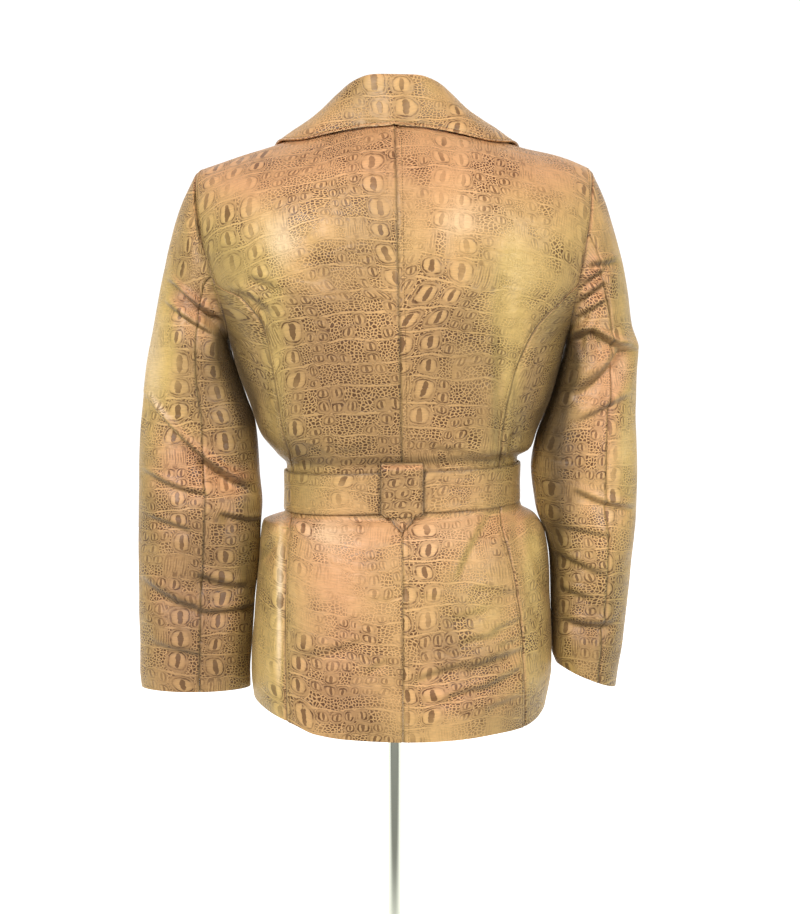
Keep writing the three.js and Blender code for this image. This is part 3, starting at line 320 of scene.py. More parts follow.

# %% [markdown]
# Shot cloth is woven from threads of two colours. Each point stores how warm it is, which is partly that
# real
# weave and partly painted sheen: warmer on facets that face up, more olive on those that face sideways. It
# also stores a painted light and shade value and how boldly the figure shows, from its own direction and
# from a few listed patches.

# %% Patches of shot colour and painted sheen, painted light and shade, and a bolder or fainter figure
# The light column paints shade, such as the dark gaps between the sleeves and the body, and painted
# highlights on ridges. The bold column fades the figure where the satin's sheen would wash it out, as
# painted sheen.
PATCHES = table(
    "x z wide tall warm light bold",
    (-150, 890, 60, 28, 0.3, -0.02, 0.0), (-60, 905, 70, 22, 0.4, -0.08, 0.1),
    (150, 890, 60, 28, 0.2, 0.0, -0.1), (60, 900, 60, 26, 0.2, -0.03, -0.1),
    (-215, 480, 60, 130, 0.0, -0.06, 0.1), (240, 520, 30, 90, 0.0, 0.06, 0.0),
    (-60, 547, 70, 22, 0.0, 0.0, -0.3), (90, 549, 50, 22, 0.3, 0.0, -0.1),
    (-164, 620, 16, 90, 0.0, -0.2, 0.3), (-186, 704, 8, 22, 0.0, -0.5, 0.0),
    (-178, 682, 9, 22, 0.0, -0.5, 0.0), (-168, 656, 10, 22, 0.0, -0.5, 0.0),
    (-158, 633, 10, 20, 0.0, -0.5, 0.0), (181, 620, 18, 90, 0.0, -0.22, 0.3),
    (194, 696, 8, 22, 0.0, -0.5, 0.0), (188, 672, 9, 22, 0.0, -0.5, 0.0),
    (178, 645, 10, 24, 0.0, -0.5, 0.0), (165, 614, 11, 24, 0.0, -0.5, 0.0),
    (256, 620, 12, 70, -0.4, 0.1, -0.5), (232, 640, 18, 50, 0.4, 0.0, 0.1),
    (-254, 700, 20, 50, -0.4, 0.12, -0.5), (-222, 750, 12, 10, 0.6, -0.06, 0.0),
    (-196, 660, 12, 60, 0.1, -0.14, 0.3), (0, 850, 130, 44, 0.0, -0.06, 0.0),
    (8, 545, 20, 34, 0.0, 0.0, 0.45), (-140, 660, 12, 70, 0.2, -0.02, 0.5),
    (-164, 420, 8, 100, 0.0, -0.2, 0.1), (178, 430, 8, 90, 0.0, -0.24, 0.1),
    (-123, 430, 5, 120, -0.3, 0.22, -0.4), (-130, 830, 60, 24, -0.15, 0.1, -0.15),
    (-115, 800, 26, 26, 0.0, 0.14, -0.1), (90, 830, 90, 30, 0.0, 0.1, -0.2),
    (130, 770, 46, 70, -0.35, 0.12, -0.3), (-165, 780, 36, 50, -0.35, 0.02, -0.15),
    (-128, 690, 14, 110, -0.5, 0.06, -0.2), (60, 800, 22, 50, 0.1, 0.08, 0.0),
    (-70, 730, 40, 60, 0.2, 0.0, 0.3), (-60, 640, 60, 80, 0.15, -0.05, 0.4),
    (40, 680, 50, 90, 0.1, -0.04, 0.4), (122, 690, 12, 100, -0.5, 0.07, -0.3),
    (150, 660, 14, 70, 0.25, -0.06, 0.1), (-60, 480, 50, 50, 0.4, 0.1, -0.2),
    (-60, 400, 34, 60, 0.3, 0.06, -0.1), (-150, 430, 14, 90, -0.5, -0.02, 0.0),
    (-140, 512, 16, 10, -0.2, -0.2, 0.2), (30, 460, 26, 60, 0.1, 0.04, 0.1),
    (90, 440, 26, 60, -0.2, 0.12, -0.25), (130, 430, 12, 90, 0.2, 0.08, 0.0),
    (150, 430, 12, 90, -0.5, 0.12, -0.2), (60, 380, 60, 26, 0.1, -0.08, 0.4),
    (60, 335, 60, 20, 0.3, 0.05, 0.1), (-60, 330, 60, 40, 0.2, -0.05, 0.3),
    (-140, 350, 18, 50, -0.5, 0.08, -0.2), (-262, 740, 24, 90, -0.4, 0.1, -0.1),
    (-225, 780, 20, 70, 0.0, -0.06, 0.2), (-205, 740, 20, 16, 0.5, 0.0, 0.1),
    (-262, 640, 20, 50, 0.0, 0.12, -0.1), (-215, 660, 30, 40, 0.0, -0.06, 0.3),
    (-225, 572, 34, 24, 0.6, 0.0, 0.2), (-170, 560, 16, 10, 0.7, 0.12, 0.0),
    (-215, 490, 50, 50, 0.25, -0.12, 0.4), (-220, 400, 60, 50, 0.25, -0.12, 0.4),
    (-220, 340, 60, 26, 0.2, -0.12, 0.3), (255, 770, 20, 60, -0.3, 0.12, -0.1),
    (210, 775, 14, 30, 0.5, 0.02, 0.1), (240, 670, 22, 22, 0.5, 0.1, 0.0),
    (248, 610, 18, 50, -0.1, 0.1, -0.1), (215, 600, 26, 50, 0.1, 0.0, 0.2),
    (240, 500, 26, 50, 0.05, 0.06, 0.2), (220, 390, 40, 50, 0.0, -0.1, 0.4),
    (180, 500, 20, 90, 0.0, -0.2, 0.3), (175, 600, 14, 60, 0.0, -0.15, 0.2),
)


def shot_of(points, normal):
    """For each point: how much of the warm thread shows, partly as painted sheen, its painted light and
    shade, and how boldly the figure shows.
    """
    x, z = points[..., 0], points[..., 2]
    up = np.clip(normal[..., 2], -0.6, 0.5)
    side = ease((np.abs(normal[..., 0]) - 0.2) / 0.6)
    drift = 0.09 * np.sin(x / 31 + 2 * np.sin(z / 67)) * np.sin(z / 45 + 1)
    # Warm is partly painted sheen: more warm weft on facets that face up, more olive warp on those that face
    # sideways.
    warm = 0.46 + np.where(up < 0, 0.2, 0.8) * up - 0.36 * side + drift
    # Light is painted light and shade: lighter on facets that face up, darker on those that face down or
    # sideways and on overhanging crease walls.
    light = 0.5 + np.where(up < 0, 0.3, 0.2) * up - 0.06 * side
    light = light + 0.04 * np.sin(x / 23 + 1.7 * np.sin(z / 51))
    light = light - 0.1 * ease((-0.22 - up) / 0.3)
    # Bold varies at random and by the patches. Where it is low, the figure fades as painted sheen would wash
    # it out.
    bold = 0.45 + 0.12 * np.sin(x / 27 + 1.9 * np.sin(z / 43) + 2)
    for px, pz, wide, tall, more, lighter, bolder in zip(*PATCHES.values()):
        near = hill(x, px, wide) * hill(z, pz, tall) * ease(-normal[..., 1] * 2 + 0.6)
        warm = warm + more * near
        light = light + lighter * near
        bold = bold + bolder * near
    return [np.clip(value, 0, 1) for value in (warm, light, bold)]


print("patches", len(PATCHES["x"]))


# %% [markdown]
# Every piece of cloth is a wall: an outer grid of points, the same grid moved in by the cloth's
# thickness, and a strip round the edge that closes it. One function makes that mesh, with a UV map that
# measures the cloth in metres, so that the woven figure follows each piece as it was cut.

# %% A closed cloth wall from a grid of points
def grid_normal(points, like):
    """Outward directions of a grid, on the same side as the directions in like."""
    made = unit(np.cross(np.gradient(points, axis=0), np.gradient(points, axis=1)))
    return made if (made * like).sum() > 0 else -made


def measured(points):
    """Distances along the columns and rows of a grid, each from its first point."""
    across = np.linalg.norm(np.diff(points, axis=0, prepend=points[:1]), axis=-1).cumsum(axis=0)
    up = np.linalg.norm(np.diff(points, axis=1, prepend=points[:, :1]), axis=-1).cumsum(axis=1)
    return across, up


def quads(grid, wrap):
    """Corner numbers of a grid's cells."""
    if wrap:
        grid = np.concatenate([grid, grid[:1]])
    return np.stack([grid[:-1, :-1], grid[1:, :-1], grid[1:, 1:], grid[:-1, 1:]], -1).reshape(-1, 4)


def in_scene(name, data):
    """A new object in the scene."""
    made = bpy.data.objects.new(name, data)
    bpy.context.scene.collection.objects.link(made)
    return made


def link_mesh(name, points, faces, uv=None, crease_angle=50):
    """A mesh object in metres from points in mm, smooth but for its sharp edges."""
    mesh = bpy.data.meshes.new(name)
    mesh.from_pydata((np.asarray(points) * MM).tolist(), [], [list(map(int, f)) for f in faces])
    made = in_scene(name, mesh)
    if uv is not None:
        corner = np.zeros(len(mesh.loops), np.int32)
        mesh.loops.foreach_get("vertex_index", corner)
        layer = mesh.uv_layers.new(name="UVMap")
        layer.data.foreach_set("uv", uv[corner].astype(np.float32).ravel())
    mesh.shade_smooth()
    mesh.set_sharp_from_angle(angle=math.radians(crease_angle))
    return made


def volume(points, faces):
    """Signed volume of a closed mesh of quads."""
    a, b, c, d = (points[faces[:, k]] for k in range(4))
    return (np.cross(a, b) * c).sum() + (np.cross(a, c) * d).sum()


def cloth_wall(name, outer, normal, thick, uv, shade=0.0):
    """The wall between a grid and the same grid moved in, as one closed mesh with its shot colour and its
    painted light and shade.
    """
    columns, rows = outer.shape[:2]
    inner = outer - thick * normal
    number = np.arange(columns * rows).reshape(columns, rows)
    under = number + columns * rows
    sides = [quads(number, False), quads(under, False)[:, ::-1]]
    rims = [(number[:, 0], under[:, 0]), (under[:, -1], number[:, -1])]
    rims += [(under[0], number[0]), (number[-1], under[-1])]
    for near, far in rims:
        sides.append(np.stack([far[:-1], far[1:], near[1:], near[:-1]], -1))
    points = np.concatenate([outer.reshape(-1, 3), inner.reshape(-1, 3)])
    faces = np.concatenate(sides)
    if volume(points, faces) < 0:
        faces = faces[:, ::-1]
    made = link_mesh(name, points, faces, np.concatenate([uv.reshape(-1, 2)] * 2))
    warm, light, bold = shot_of(outer, normal)
    # The stored light is painted light and shade. The shade given here paints further shade along seams and
    # edges.
    for key, values in (("warm", warm), ("light", np.clip(light - shade, 0, 1)), ("bold", bold)):
        stored = made.data.attributes.new(key, "FLOAT", "POINT")
        stored.data.foreach_set("value", np.tile(values.ravel(), 2).astype(np.float32))
    return made


# %% [markdown]
# Where two pieces are sewn together the cloth dips into the seam, and topstitching presses a second, finer
# line beside it. Grid lines are set close together near an edge, so that these lines stay sharp.

# %% Grid steps, seam grooves and stitch grooves
SEAM_GAP = 0.05
SEAM_DIP, SEAM_REACH = 1.3, 1.5
STITCH_DIP, STITCH_REACH = 0.4, 0.9
TOPSTITCH, CENTRE_STITCH = 5, 6.5
CLOTH = 1.6
EDGE_STEPS = np.array([0, 0.7, 1.5, 2.6, 4.0, 5.0, 6.0, 7.6])


def steps_across(wide, step, first=True, last=True):
    """Shares from 0 to 1 across a piece, closer near the edges that are asked for."""
    near = EDGE_STEPS / wide
    low = near if first else near[:1]
    high = near if last else near[:1]
    count = max(int((wide * (1 - low[-1] - high[-1])) / step), 2)
    between = np.linspace(low[-1], 1 - high[-1], count + 1)[1:-1]
    return np.concatenate([low, between, 1 - high[::-1]])


def groove(distance, at=0.0, deep=SEAM_DIP, reach=SEAM_REACH):
    return -deep * hill(distance, at, reach)


BANDS = ((440, 56, 0), (509, 26, 1), (521, 10, 1), (575, 16, 1), (660, 30, 0))
UNDERARM_ROWS, SHOULDER_ROWS = 34, 60


def levels(foot, top, shoulder, waist_x):
    """The levels of one column's rows. Near the belt they follow its slope."""
    parts, start = [np.array([foot])], foot
    for to, count, follows in BANDS:
        end = to + follows * float(belt_shift(waist_x))
        parts.append(np.linspace(start, end, count + 1)[1:])
        start = end
    parts.append(np.linspace(start, JUNCTION if shoulder else top, UNDERARM_ROWS + 1)[1:])
    if shoulder:
        parts.append(np.linspace(JUNCTION, top, SHOULDER_ROWS + 1)[1:])
    return np.concatenate(parts)


print("grid lines across a 120 mm panel", len(steps_across(120, 4)))

# %% [markdown]
# The back is two panels and each side is one. The back panels run from the middle seam to
# the side-back seam and the armhole, and their top edge dips at the nape. Every panel is made by
# one function: its columns give angles and levels, and the creases and grooves then move its points.

# %% Body panels
SIDE_NAME = {-1: "Left", 1: "Right"}
PANEL_STEPS = {"back": (128, 4), "front": (120, 5), "side": (130, 4)}
HEM_LEVEL = 300
DEEPEST = 4.6
cloth_pieces = {}
grids = {}
UV_PLACE = {
    "back_left": (0.310, 0.02), "back_right": (0.705, 0.31),
    "side_left": (1.13, 0.11), "side_right": (1.52, 0.07),
    "front_left": (2.04, 0.23), "front_right": (2.41, 0.41),
    "upper_sleeve_left": (3.02, 0.03), "under_sleeve_left": (3.43, 0.19),
    "upper_sleeve_right": (3.87, 0.35), "under_sleeve_right": (4.31, 0.27),
    "collar": (5.02, 0.5), "belt": (6.0, 0.2), "keeper_tab": (7.611, 0.45),
}


def widest(points):
    """The widest level run across a grid in mm. A row that follows an armhole or a point reads too long."""
    columns = points if points[0, 0, 2] < points[0, -1, 2] else points[:, ::-1]
    widths = []
    for level in np.linspace(points[..., 2].min(), points[..., 2].max(), 80):
        met = [c for c in columns if c[0, 2] <= level <= c[-1, 2]]
        run = np.array([[np.interp(level, c[:, 2], c[:, k]) for k in (0, 1)] for c in met])
        widths.append(np.linalg.norm(np.diff(run, axis=0), axis=1).sum() if len(run) > 1 else 0)
    return max(widths)


def keep_piece(name, points, normal, thick, flat_points, mirror=1, drop=None, shade=0.0):
    """Makes the wall, and keeps its grid for the stitches and its flat size and area on the piece."""
    across, up = measured(flat_points)
    place = np.array(UV_PLACE[name])
    uv = np.stack([mirror * (across - across[-1:] / 2), up if drop is None else drop], -1) * MM + place
    made = cloth_wall(name + "_cloth", points, normal, thick, uv, shade)
    cloth_pieces[name] = made
    grids[name] = (points, normal)
    beside, above = np.diff(flat_points, axis=0)[:, :-1], np.diff(flat_points, axis=1)[:-1]
    area = np.linalg.norm(np.cross(beside, above), axis=-1)
    made["flat_area"] = float(area.sum()) * MM * MM
    wide = across[-1].max() if name in ("collar", "belt") else widest(flat_points)
    made["flat_wide"] = float(wide) * MM
    made["flat_long"] = float(up[:, -1].max()) * MM
    print(name, "flat mm", round(wide), "x", round(up[:, -1].max()), "faces", len(made.data.polygons))
    return made


EDGE_SHADE = 0.25


def near_belt(points):
    """1 close above or below the belt's edges, where it shades the cloth."""
    off = np.abs(points[..., 2] - BELT_MIDDLE - belt_shift(points[..., 0])) - BELT_WIDE / 2
    return hill(off, 0, 1.7)


def finish_panel(name, angle, level, sewn_first, sewn_last, stitched, mirror):
    """Body points from angles and levels, with creases, seam dips and a stitched line."""
    flat = body_at(angle, level)
    normal = body_normal(angle, level)
    across, up = measured(flat)
    from_last = across[-1:] - across
    lift = crease_lift(flat, normal, BODY_CREASES) + ripple(across + 400 * (angle[:1] > 0), up)
    calm = ease((np.abs(flat[..., 2] - BELT_MIDDLE - belt_shift(flat[..., 0])) - 20) / 16)
    lift = lift * (0.15 + 0.85 * calm)
    if sewn_first:
        lift += groove(across)
    if sewn_last:
        lift += groove(from_last)
    if stitched:
        distance = across if stitched == "first" else from_last
        lift += groove(distance, TOPSTITCH, STITCH_DIP, STITCH_REACH)
    points = flat + normal * np.maximum(lift, -DEEPEST)[..., None]
    seam_shade = sewn_first * hill(across, 0, 1.3) + sewn_last * hill(from_last, 0, 1.3)
    shade = EDGE_SHADE * (near_belt(flat) + seam_shade)
    keep_piece(name, points, grid_normal(points, normal), CLOTH, flat, mirror, None, shade)


def half_panel(part, side):
    """A back or a front, from its middle edge to its side seam and its armhole."""
    behind = part == "back"
    key = part + SIDE_NAME[side]
    shares = steps_across(*PANEL_STEPS[part])

    def across(share, level):
        middle = seam["middle"](level) + side * SEAM_GAP / 2 if behind else side * front_edge(level)
        line = np.where(level < JUNCTION, seam[key](level), armhole[key](level))
        return mix(middle, line - side * SEAM_GAP / 2, share)

    rows = []
    for share in shares:
        top = TOP - SEAM_GAP / 2
        if behind:
            top = top - NAPE_DIP * max(1 - (share * 3) ** 2, 0) ** 0.65
        foot = float(hem(across(share, HEM_LEVEL)))
        rows.append(levels(foot, top, True, across(share, BELT_MIDDLE)))
    level = np.array(rows)
    angle = angle_of(across(shares[:, None], level), level, BACK if behind else FRONT)
    name = part + "_" + SIDE_NAME[side].lower()
    finish_panel(name, angle, level, behind, True, "last" if behind else "first", side)


def armhole_angle(part, side, level, beyond=0.0):
    """The angle of the armhole's back or front line at a level."""
    x = armhole[part + SIDE_NAME[side]](level) + beyond
    return angle_of(x, level, BACK if part == "back" else FRONT)


def underarm(side, share):
    """Angle and level of the armhole's lower part, from the back junction to the front one."""
    level = UNDERARM + (JUNCTION - UNDERARM) * np.abs(1 - 2 * share) ** 1.5
    behind = armhole_angle("back", side, level)
    ahead = armhole_angle("front", side, level)
    ahead = np.where((side < 0) & (ahead > 0), ahead - 2 * math.pi, ahead)
    angle = np.where(share < 0.5, behind, ahead)
    return np.where(np.abs(share - 0.5) < 1e-6, side * math.pi / 2, angle), level


def side_panel(side):
    name = "side_" + SIDE_NAME[side].lower()
    shares = steps_across(*PANEL_STEPS["side"])

    def angle_at(share, level):
        inset = np.where(share <= 0, 1, np.where(share >= 1, -1, 0))
        x0 = seam["back" + SIDE_NAME[side]](level) + side * SEAM_GAP * (1 + inset) / 4
        x1 = seam["front" + SIDE_NAME[side]](level) + side * SEAM_GAP * (1 - inset) / 4
        return mix(angle_of(x0, level, -1), angle_of(x1, level, 1), share)

    angles, rows = [], []
    for share in shares:
        end_angle, end_level = (float(v) for v in underarm(side, share))
        extra = end_angle - float(angle_at(share, end_level))
        foot = float(hem(body_at(angle_at(share, HEM_LEVEL), HEM_LEVEL)[0]))
        waist_x = float(body_at(angle_at(share, BELT_MIDDLE), BELT_MIDDLE)[0])
        level = levels(foot, end_level, False, waist_x)
        near = ((level - foot) / (end_level - foot)) ** 6
        rows.append(level)
        inner = 0 < share < 1
        angles.append(angle_at(share, level) + (extra * near if inner else 0))
    finish_panel(name, np.array(angles), np.array(rows), True, True, "first", side)


for side in (-1, 1):
    half_panel("back", side)
    half_panel("front", side)
    side_panel(side)

# %% [markdown]
# A sleeve is a ring of points in every row. Its first row lies on the armhole, and lower rows are ovals
# between an outermost and an innermost point. It is cut in two pieces, an upper and an under sleeve,
# so the ring is shared out between them along the two sleeve seams.

# %% Sleeves
SLEEVE_COLUMNS = "row outX outZ inX inZ half"
SLEEVE_LEFT = table(
    SLEEVE_COLUMNS,
    (1, -221, 877, -181.7, 701, 62), (2, -231, 856, -180.6, 697, 62), (3, -240, 829, -179.5, 693, 61),
    (4, -249, 795, -178.2, 688, 60), (5, -257, 757, -176, 683, 58), (6, -264, 722, -173.4, 676, 57),
    (7, -270, 692, -169.9, 664, 55), (8, -275, 658, -163.4, 645, 53), (9, -279, 622, -153.3, 616, 51),
    (10, -281, 590, -150.5, 588, 49), (11, -282, 560, -148.5, 560, 47), (12, -283, 528, -146, 528, 46),
    (13, -283.5, 495, -148.5, 498, 45), (14, -284, 461, -150.6, 461, 44), (15, -284, 417, -155.4, 417, 43),
    (16, -283.5, 372, -158.6, 372, 42), (17, -283.8, 340, -160.8, 340, 41), (18, -282, 321, -161, 321, 40),
)
SLEEVE_RIGHT = table(
    SLEEVE_COLUMNS,
    (1, 220, 876, 188.2, 701, 62), (2, 229, 856, 187.2, 697, 62), (3, 238, 829, 186.2, 693, 61),
    (4, 247.5, 796, 185, 688, 60), (5, 255, 757, 183.4, 683, 58), (6, 260, 723, 181.6, 677, 57),
    (7, 268, 694, 178.6, 666, 55), (8, 266, 662, 174.2, 650, 53), (9, 265, 630, 164.6, 624, 51),
    (10, 266.5, 598, 155.6, 598, 50), (11, 268, 560, 150.5, 565, 50), (12, 267, 520, 156.6, 520, 50),
    (13, 265, 490, 167.4, 490, 49), (14, 262, 458, 172.4, 458, 48), (15, 258, 415, 173.4, 412, 46),
    (16, 253.5, 372, 174, 376, 45), (17, 249, 345, 175, 360, 44), (18, 246, 322, 179, 349, 43),
)
SLEEVE_ROWS = 320
UNDER_TURNS = (98, 262)
BACK_SEAM_TURN = {-1: 98, 1: 70}
FIRST_ROWS = table("row share", (0, 0), (1, 0.55), (2, 1))


def armhole_ring(side, turn):
    """Point and outward direction of the armhole where the sleeve's ring has turned by an angle."""
    low, high = UNDER_TURNS
    behind = mix(TOP, JUNCTION, turn / low)
    ahead = mix(JUNCTION, TOP, (turn - high) / (360 - high))
    angle_behind = armhole_angle("back", side, behind, side * SEAM_GAP)
    angle_ahead = armhole_angle("front", side, ahead, side * SEAM_GAP)
    share = np.clip((turn - low) / (high - low), 0, 1)
    angle_under, level_under = underarm(side, share)
    under = (turn > low) & (turn < high)
    angle = np.where(turn <= low, angle_behind, np.where(turn >= high, angle_ahead, angle_under))
    level = np.where(turn <= low, behind, np.where(turn >= high, ahead, level_under))
    normal = body_normal(angle, level)
    clear = np.where(under, ease(np.minimum(share, 1 - share) / 0.125), 0)[:, None]
    return body_at(angle, level) + clear * (0.7 * normal + np.array([0, 0, 0.5])), normal


def sleeve_piece(name, side, from_turn, to_turn, wide):
    rows = SLEEVE_LEFT if side < 0 else SLEEVE_RIGHT
    creases = LEFT_CREASES if side < 0 else RIGHT_CREASES
    shares = steps_across(wide, 2.2)
    turn = mix(from_turn, to_turn, shares)
    around = np.mod(turn, 360)
    first, outward = armhole_ring(side, around)
    row = np.concatenate([[0, 0.04, 0.1, 0.18], np.linspace(0.28, 18, SLEEVE_ROWS)])
    at = np.maximum(row, 1)
    read = {key: curve(rows, "row", key)(at) for key in ("outX", "outZ", "inX", "inZ", "half")}
    zero = np.zeros(len(row))
    outer, inner = (np.stack([read[key + "X"], zero, read[key + "Z"]], -1) for key in ("out", "in"))
    centre, arm = (outer + inner) / 2, (outer - inner) / 2
    angle = np.radians(around)[:, None, None]
    depth = np.stack([zero, -read["half"], zero], -1)
    ring = centre + arm * np.cos(angle) + depth * np.sin(angle)
    share = curve(FIRST_ROWS, "row", "share")(np.minimum(row, 2))[None, :, None]
    flat = mix(first[:, None], ring, share)
    out = unit(flat - centre)
    near = ease((1.2 - row) / 1.2)[None, :, None]
    normal = unit(mix(grid_normal(flat, out), outward[:, None], near * 0.8))
    across, down = measured(flat)
    lift = crease_lift(flat, normal, creases) + ripple(across + 90 * side, down)
    lift = lift * ease(down / 20)
    lift += groove(across) + groove(across[-1:] - across) + groove(down, 0, 1.6, 2.0)
    points = flat + normal * lift[..., None]
    inward = np.diff(points, axis=0)
    points[0] += unit(inward[0]) * SEAM_GAP / 2
    points[-1] -= unit(inward[-1]) * SEAM_GAP / 2
    seam_shade = hill(across, 0, 1.2) + hill(across[-1:] - across, 0, 1.2)
    shade = EDGE_SHADE * seam_shade + 0.3 * hill(down, 0, 2.5)
    keep_piece(name, points, grid_normal(points, normal), CLOTH, flat, 1, flat[..., 2], shade)


for side in (-1, 1):
    back_seam = BACK_SEAM_TURN[side]
    hand = SIDE_NAME[side].lower()
    sleeve_piece("upper_sleeve_" + hand, side, UNDER_TURNS[1] - 360, back_seam, 190)
    sleeve_piece("under_sleeve_" + hand, side, back_seam, UNDER_TURNS[1], 150)

# %% [markdown]
# The collar is one strip that stands up from the neck seam, turns over at the roll line and falls on to the
# shoulders. Each cross-section is a few points, joined by a smooth line, and the sections change
# smoothly along the strip. Its free edge has a topstitched line a few millimetres in.

# %% Collar
COLLAR_CLOTH = 1.8
COLLAR_LIFT = COLLAR_CLOTH / 2 + 1.7
COLLAR = table(
    "at rollX rollY rollZ edgeX edgeRun neckX neckRun bulge",
    (-1, -22, -63.5, 985.5, -33, -43.5, -27, -42, 0),
    (0, 0, -66, 986, 0, -50, 0, -45, 0),
    (1, 22, -63.5, 985.5, 33, -43.5, 27, -42, 0),
    (2, 38, -53, 982, 68, -38, 50, -34, 0),
    (3, 50, -34, 976.5, 97, -35, 66, -21, 0),
    (4, 58, -10, 969.5, 122, -20, 74.5, -4, 0),
    (5, 62, 16, 957, 134, 10, 74.5, 14, 2),
    (6, 63, 42, 939, 139, 38, 72.5, 32, 5),
    (7, 61.5, 66, 919, 138, 66, 69, 50, 8),
    (8, 52.5, 104, 870, 128, 100, 59, 90, 9),
    (9, 41.5, 119.5, 800, 110, 133, 48, 130, 6),
    (10, 27.5, 129, 760, 86, 166, 34, 170, 4),
    (11, 12.5, 135, 720, 52, 200, 19, 210, 2),
    (12, 3.5, 135.5, 694, 14, 234, 9, 234, 0),
)
COLLAR_STATIONS = 110
COLLAR_PARTS = (4, 5, 4, 4, 4, 4, 5, 10, 12, 14)
COLLAR_STITCH = 4


def on_body_run(x, run, lift):
    """A point of the body a distance in front of the shoulder ridge, or behind it below 0."""
    level = TOP - np.abs(run)
    angle = np.where(run < 0, angle_of(x, level, -1), angle_of(x, level, 1))
    return body_at(angle, level) + lift * body_normal(angle, level)


def smooth_line(knots, parts):
    """A smooth line through knots (count, ..., 3), with some steps after each knot."""
    gap = np.linalg.norm(np.diff(knots, axis=0), axis=-1, keepdims=True)
    rise = np.diff(knots, axis=0) / gap
    inside = (rise[:-1] * gap[1:] + rise[1:] * gap[:-1]) / (gap[:-1] + gap[1:])
    slope = np.concatenate([rise[:1], inside, rise[-1:]])
    made = []
    for i, count in enumerate(parts):
        for k in range(count):
            made.append(smooth_step(knots[i], knots[i + 1], slope[i], slope[i + 1], gap[i], k / count))
    return np.array(made + [knots[-1]])


def collar_piece():
    station = np.arange(-COLLAR_STATIONS, COLLAR_STATIONS + 1)
    side = np.where(station < 0, -1.0, 1.0)
    at = np.abs(station) / COLLAR_STATIONS * COLLAR["at"][-1]
    read = {key: curve(COLLAR, "at", key)(at) for key in COLLAR if key != "at"}
    roll = np.stack([side * read["rollX"], read["rollY"], read["rollZ"]], -1)
    lean = np.where(side < 0, COLLAR_LEAN * hill(at, 4.5, 2.5), 0)
    neck = on_body_run(side * read["neckX"], read["neckRun"], COLLAR_LIFT)
    edge = on_body_run(side * (read["edgeX"] - lean), read["edgeRun"], COLLAR_LIFT)
    fall, stand = unit(edge - roll), unit(neck - roll)
    across = fall - stand
    across = unit(across - (across * fall).sum(-1, keepdims=True) * fall)
    reach = np.minimum(5, 0.35 * np.linalg.norm(neck - roll, axis=-1))[:, None]
    high = roll + stand * reach - 1.3 * across
    low = roll + fall * reach + 1.5 * across
    bulge = read["bulge"][:, None] * across
    last = mix(low, edge, 0.93) + bulge * math.sin(math.pi * 0.93)
    knots = np.array([
        neck,
        mix(neck, high, 0.5),
        high,
        mix(roll, high, 0.35) - 0.5 * across,
        roll,
        mix(roll, low, 0.35) + 0.5 * across,
        low,
        mix(low, edge, 0.3) + bulge * math.sin(math.pi * 0.3),
        mix(low, edge, 0.65) + bulge * math.sin(math.pi * 0.65),
        last,
        edge,
    ])
    flat = smooth_line(knots, COLLAR_PARTS).transpose(1, 0, 2)
    outward = np.broadcast_to(across[:, None], flat.shape).copy()
    stands = flat.shape[1] // 3
    normal = grid_normal(flat, np.where(np.arange(flat.shape[1])[None, :, None] < stands, 0, outward))
    run, up = measured(flat)
    from_edge = up[:, -1:] - up
    lift = ripple(run, up + 50) * 1.3 * ease(from_edge / 14) + groove(from_edge, COLLAR_STITCH, 0.5, 1.1)
    lift += 0.5 * hill(from_edge, 0.8, 1.6)
    points = flat + normal * (COLLAR_CLOTH / 2 + lift)[..., None]
    keep_piece("collar", points, grid_normal(points, normal), COLLAR_CLOTH, flat)


collar_piece()

# %% [markdown]
# The belt is a straight strip that runs once round the waist and laps over its own start at the front.
# The keeper tab is sewn above and below it and ends in a point.

# %% Belt and keeper tab
BELT_CLOTH, TAB_CLOTH = 2.5, 2
BELT_START, BELT_END = math.radians(-192), math.radians(216)
BELT_GAP, BELT_LAP, BELT_CUP = 1.1, 3.4, 0.6
BELT_STEPS = 420
TAB_MIDDLE_X, TAB_WIDE, TAB_TOP = 8.2, 44, 580.5
TAB_SIDE_END, TAB_TIP, TAB_LOWER_SEAM, TAB_GAP = 525, 505.5, 512, 0.7
TAB_STITCH = 2.6
BELT_SHARES = np.array([-1, -0.97, -0.9, -0.75, -0.4, 0, 0.4, 0.75, 0.9, 0.97, 1])


def belt_piece():
    angle = np.linspace(BELT_START, BELT_END, BELT_STEPS)[:, None]
    waist = body_at(angle, BELT_MIDDLE)
    normal = unit(body_normal(angle, BELT_MIDDLE) * np.array([1, 1, 0]))
    lap = ease((angle - 2.3) / 0.55) * BELT_LAP
    left = (BELT_END - angle) / (BELT_END - BELT_START) * 68
    taper = np.interp(left, [0, 1, 2, 3], [0.12, 0.6, 0.92, 1])
    share = BELT_SHARES[None]
    out = BELT_GAP + BELT_CUP * np.abs(share) + lap + BELT_CLOTH - 0.5 * np.abs(share) ** 14
    out = out + 0.25 * np.sin(angle * 23 + share) * np.sin(angle * 7)
    flat = waist + normal * out[..., None]
    flat[..., 2] = BELT_MIDDLE + belt_shift(flat[..., 0]) + share * taper * BELT_WIDE / 2
    outward = np.broadcast_to(normal, flat.shape)
    beside_tab = np.abs(flat[..., 0] - TAB_MIDDLE_X) - TAB_WIDE / 2
    shade = 0.3 * hill(np.abs(share), 1, 0.05) + 0.3 * hill(beside_tab, 0.5, 2)
    keep_piece("belt", flat, outward.copy(), BELT_CLOTH - 0.4, flat, 1, None, shade * (flat[..., 1] < 0))


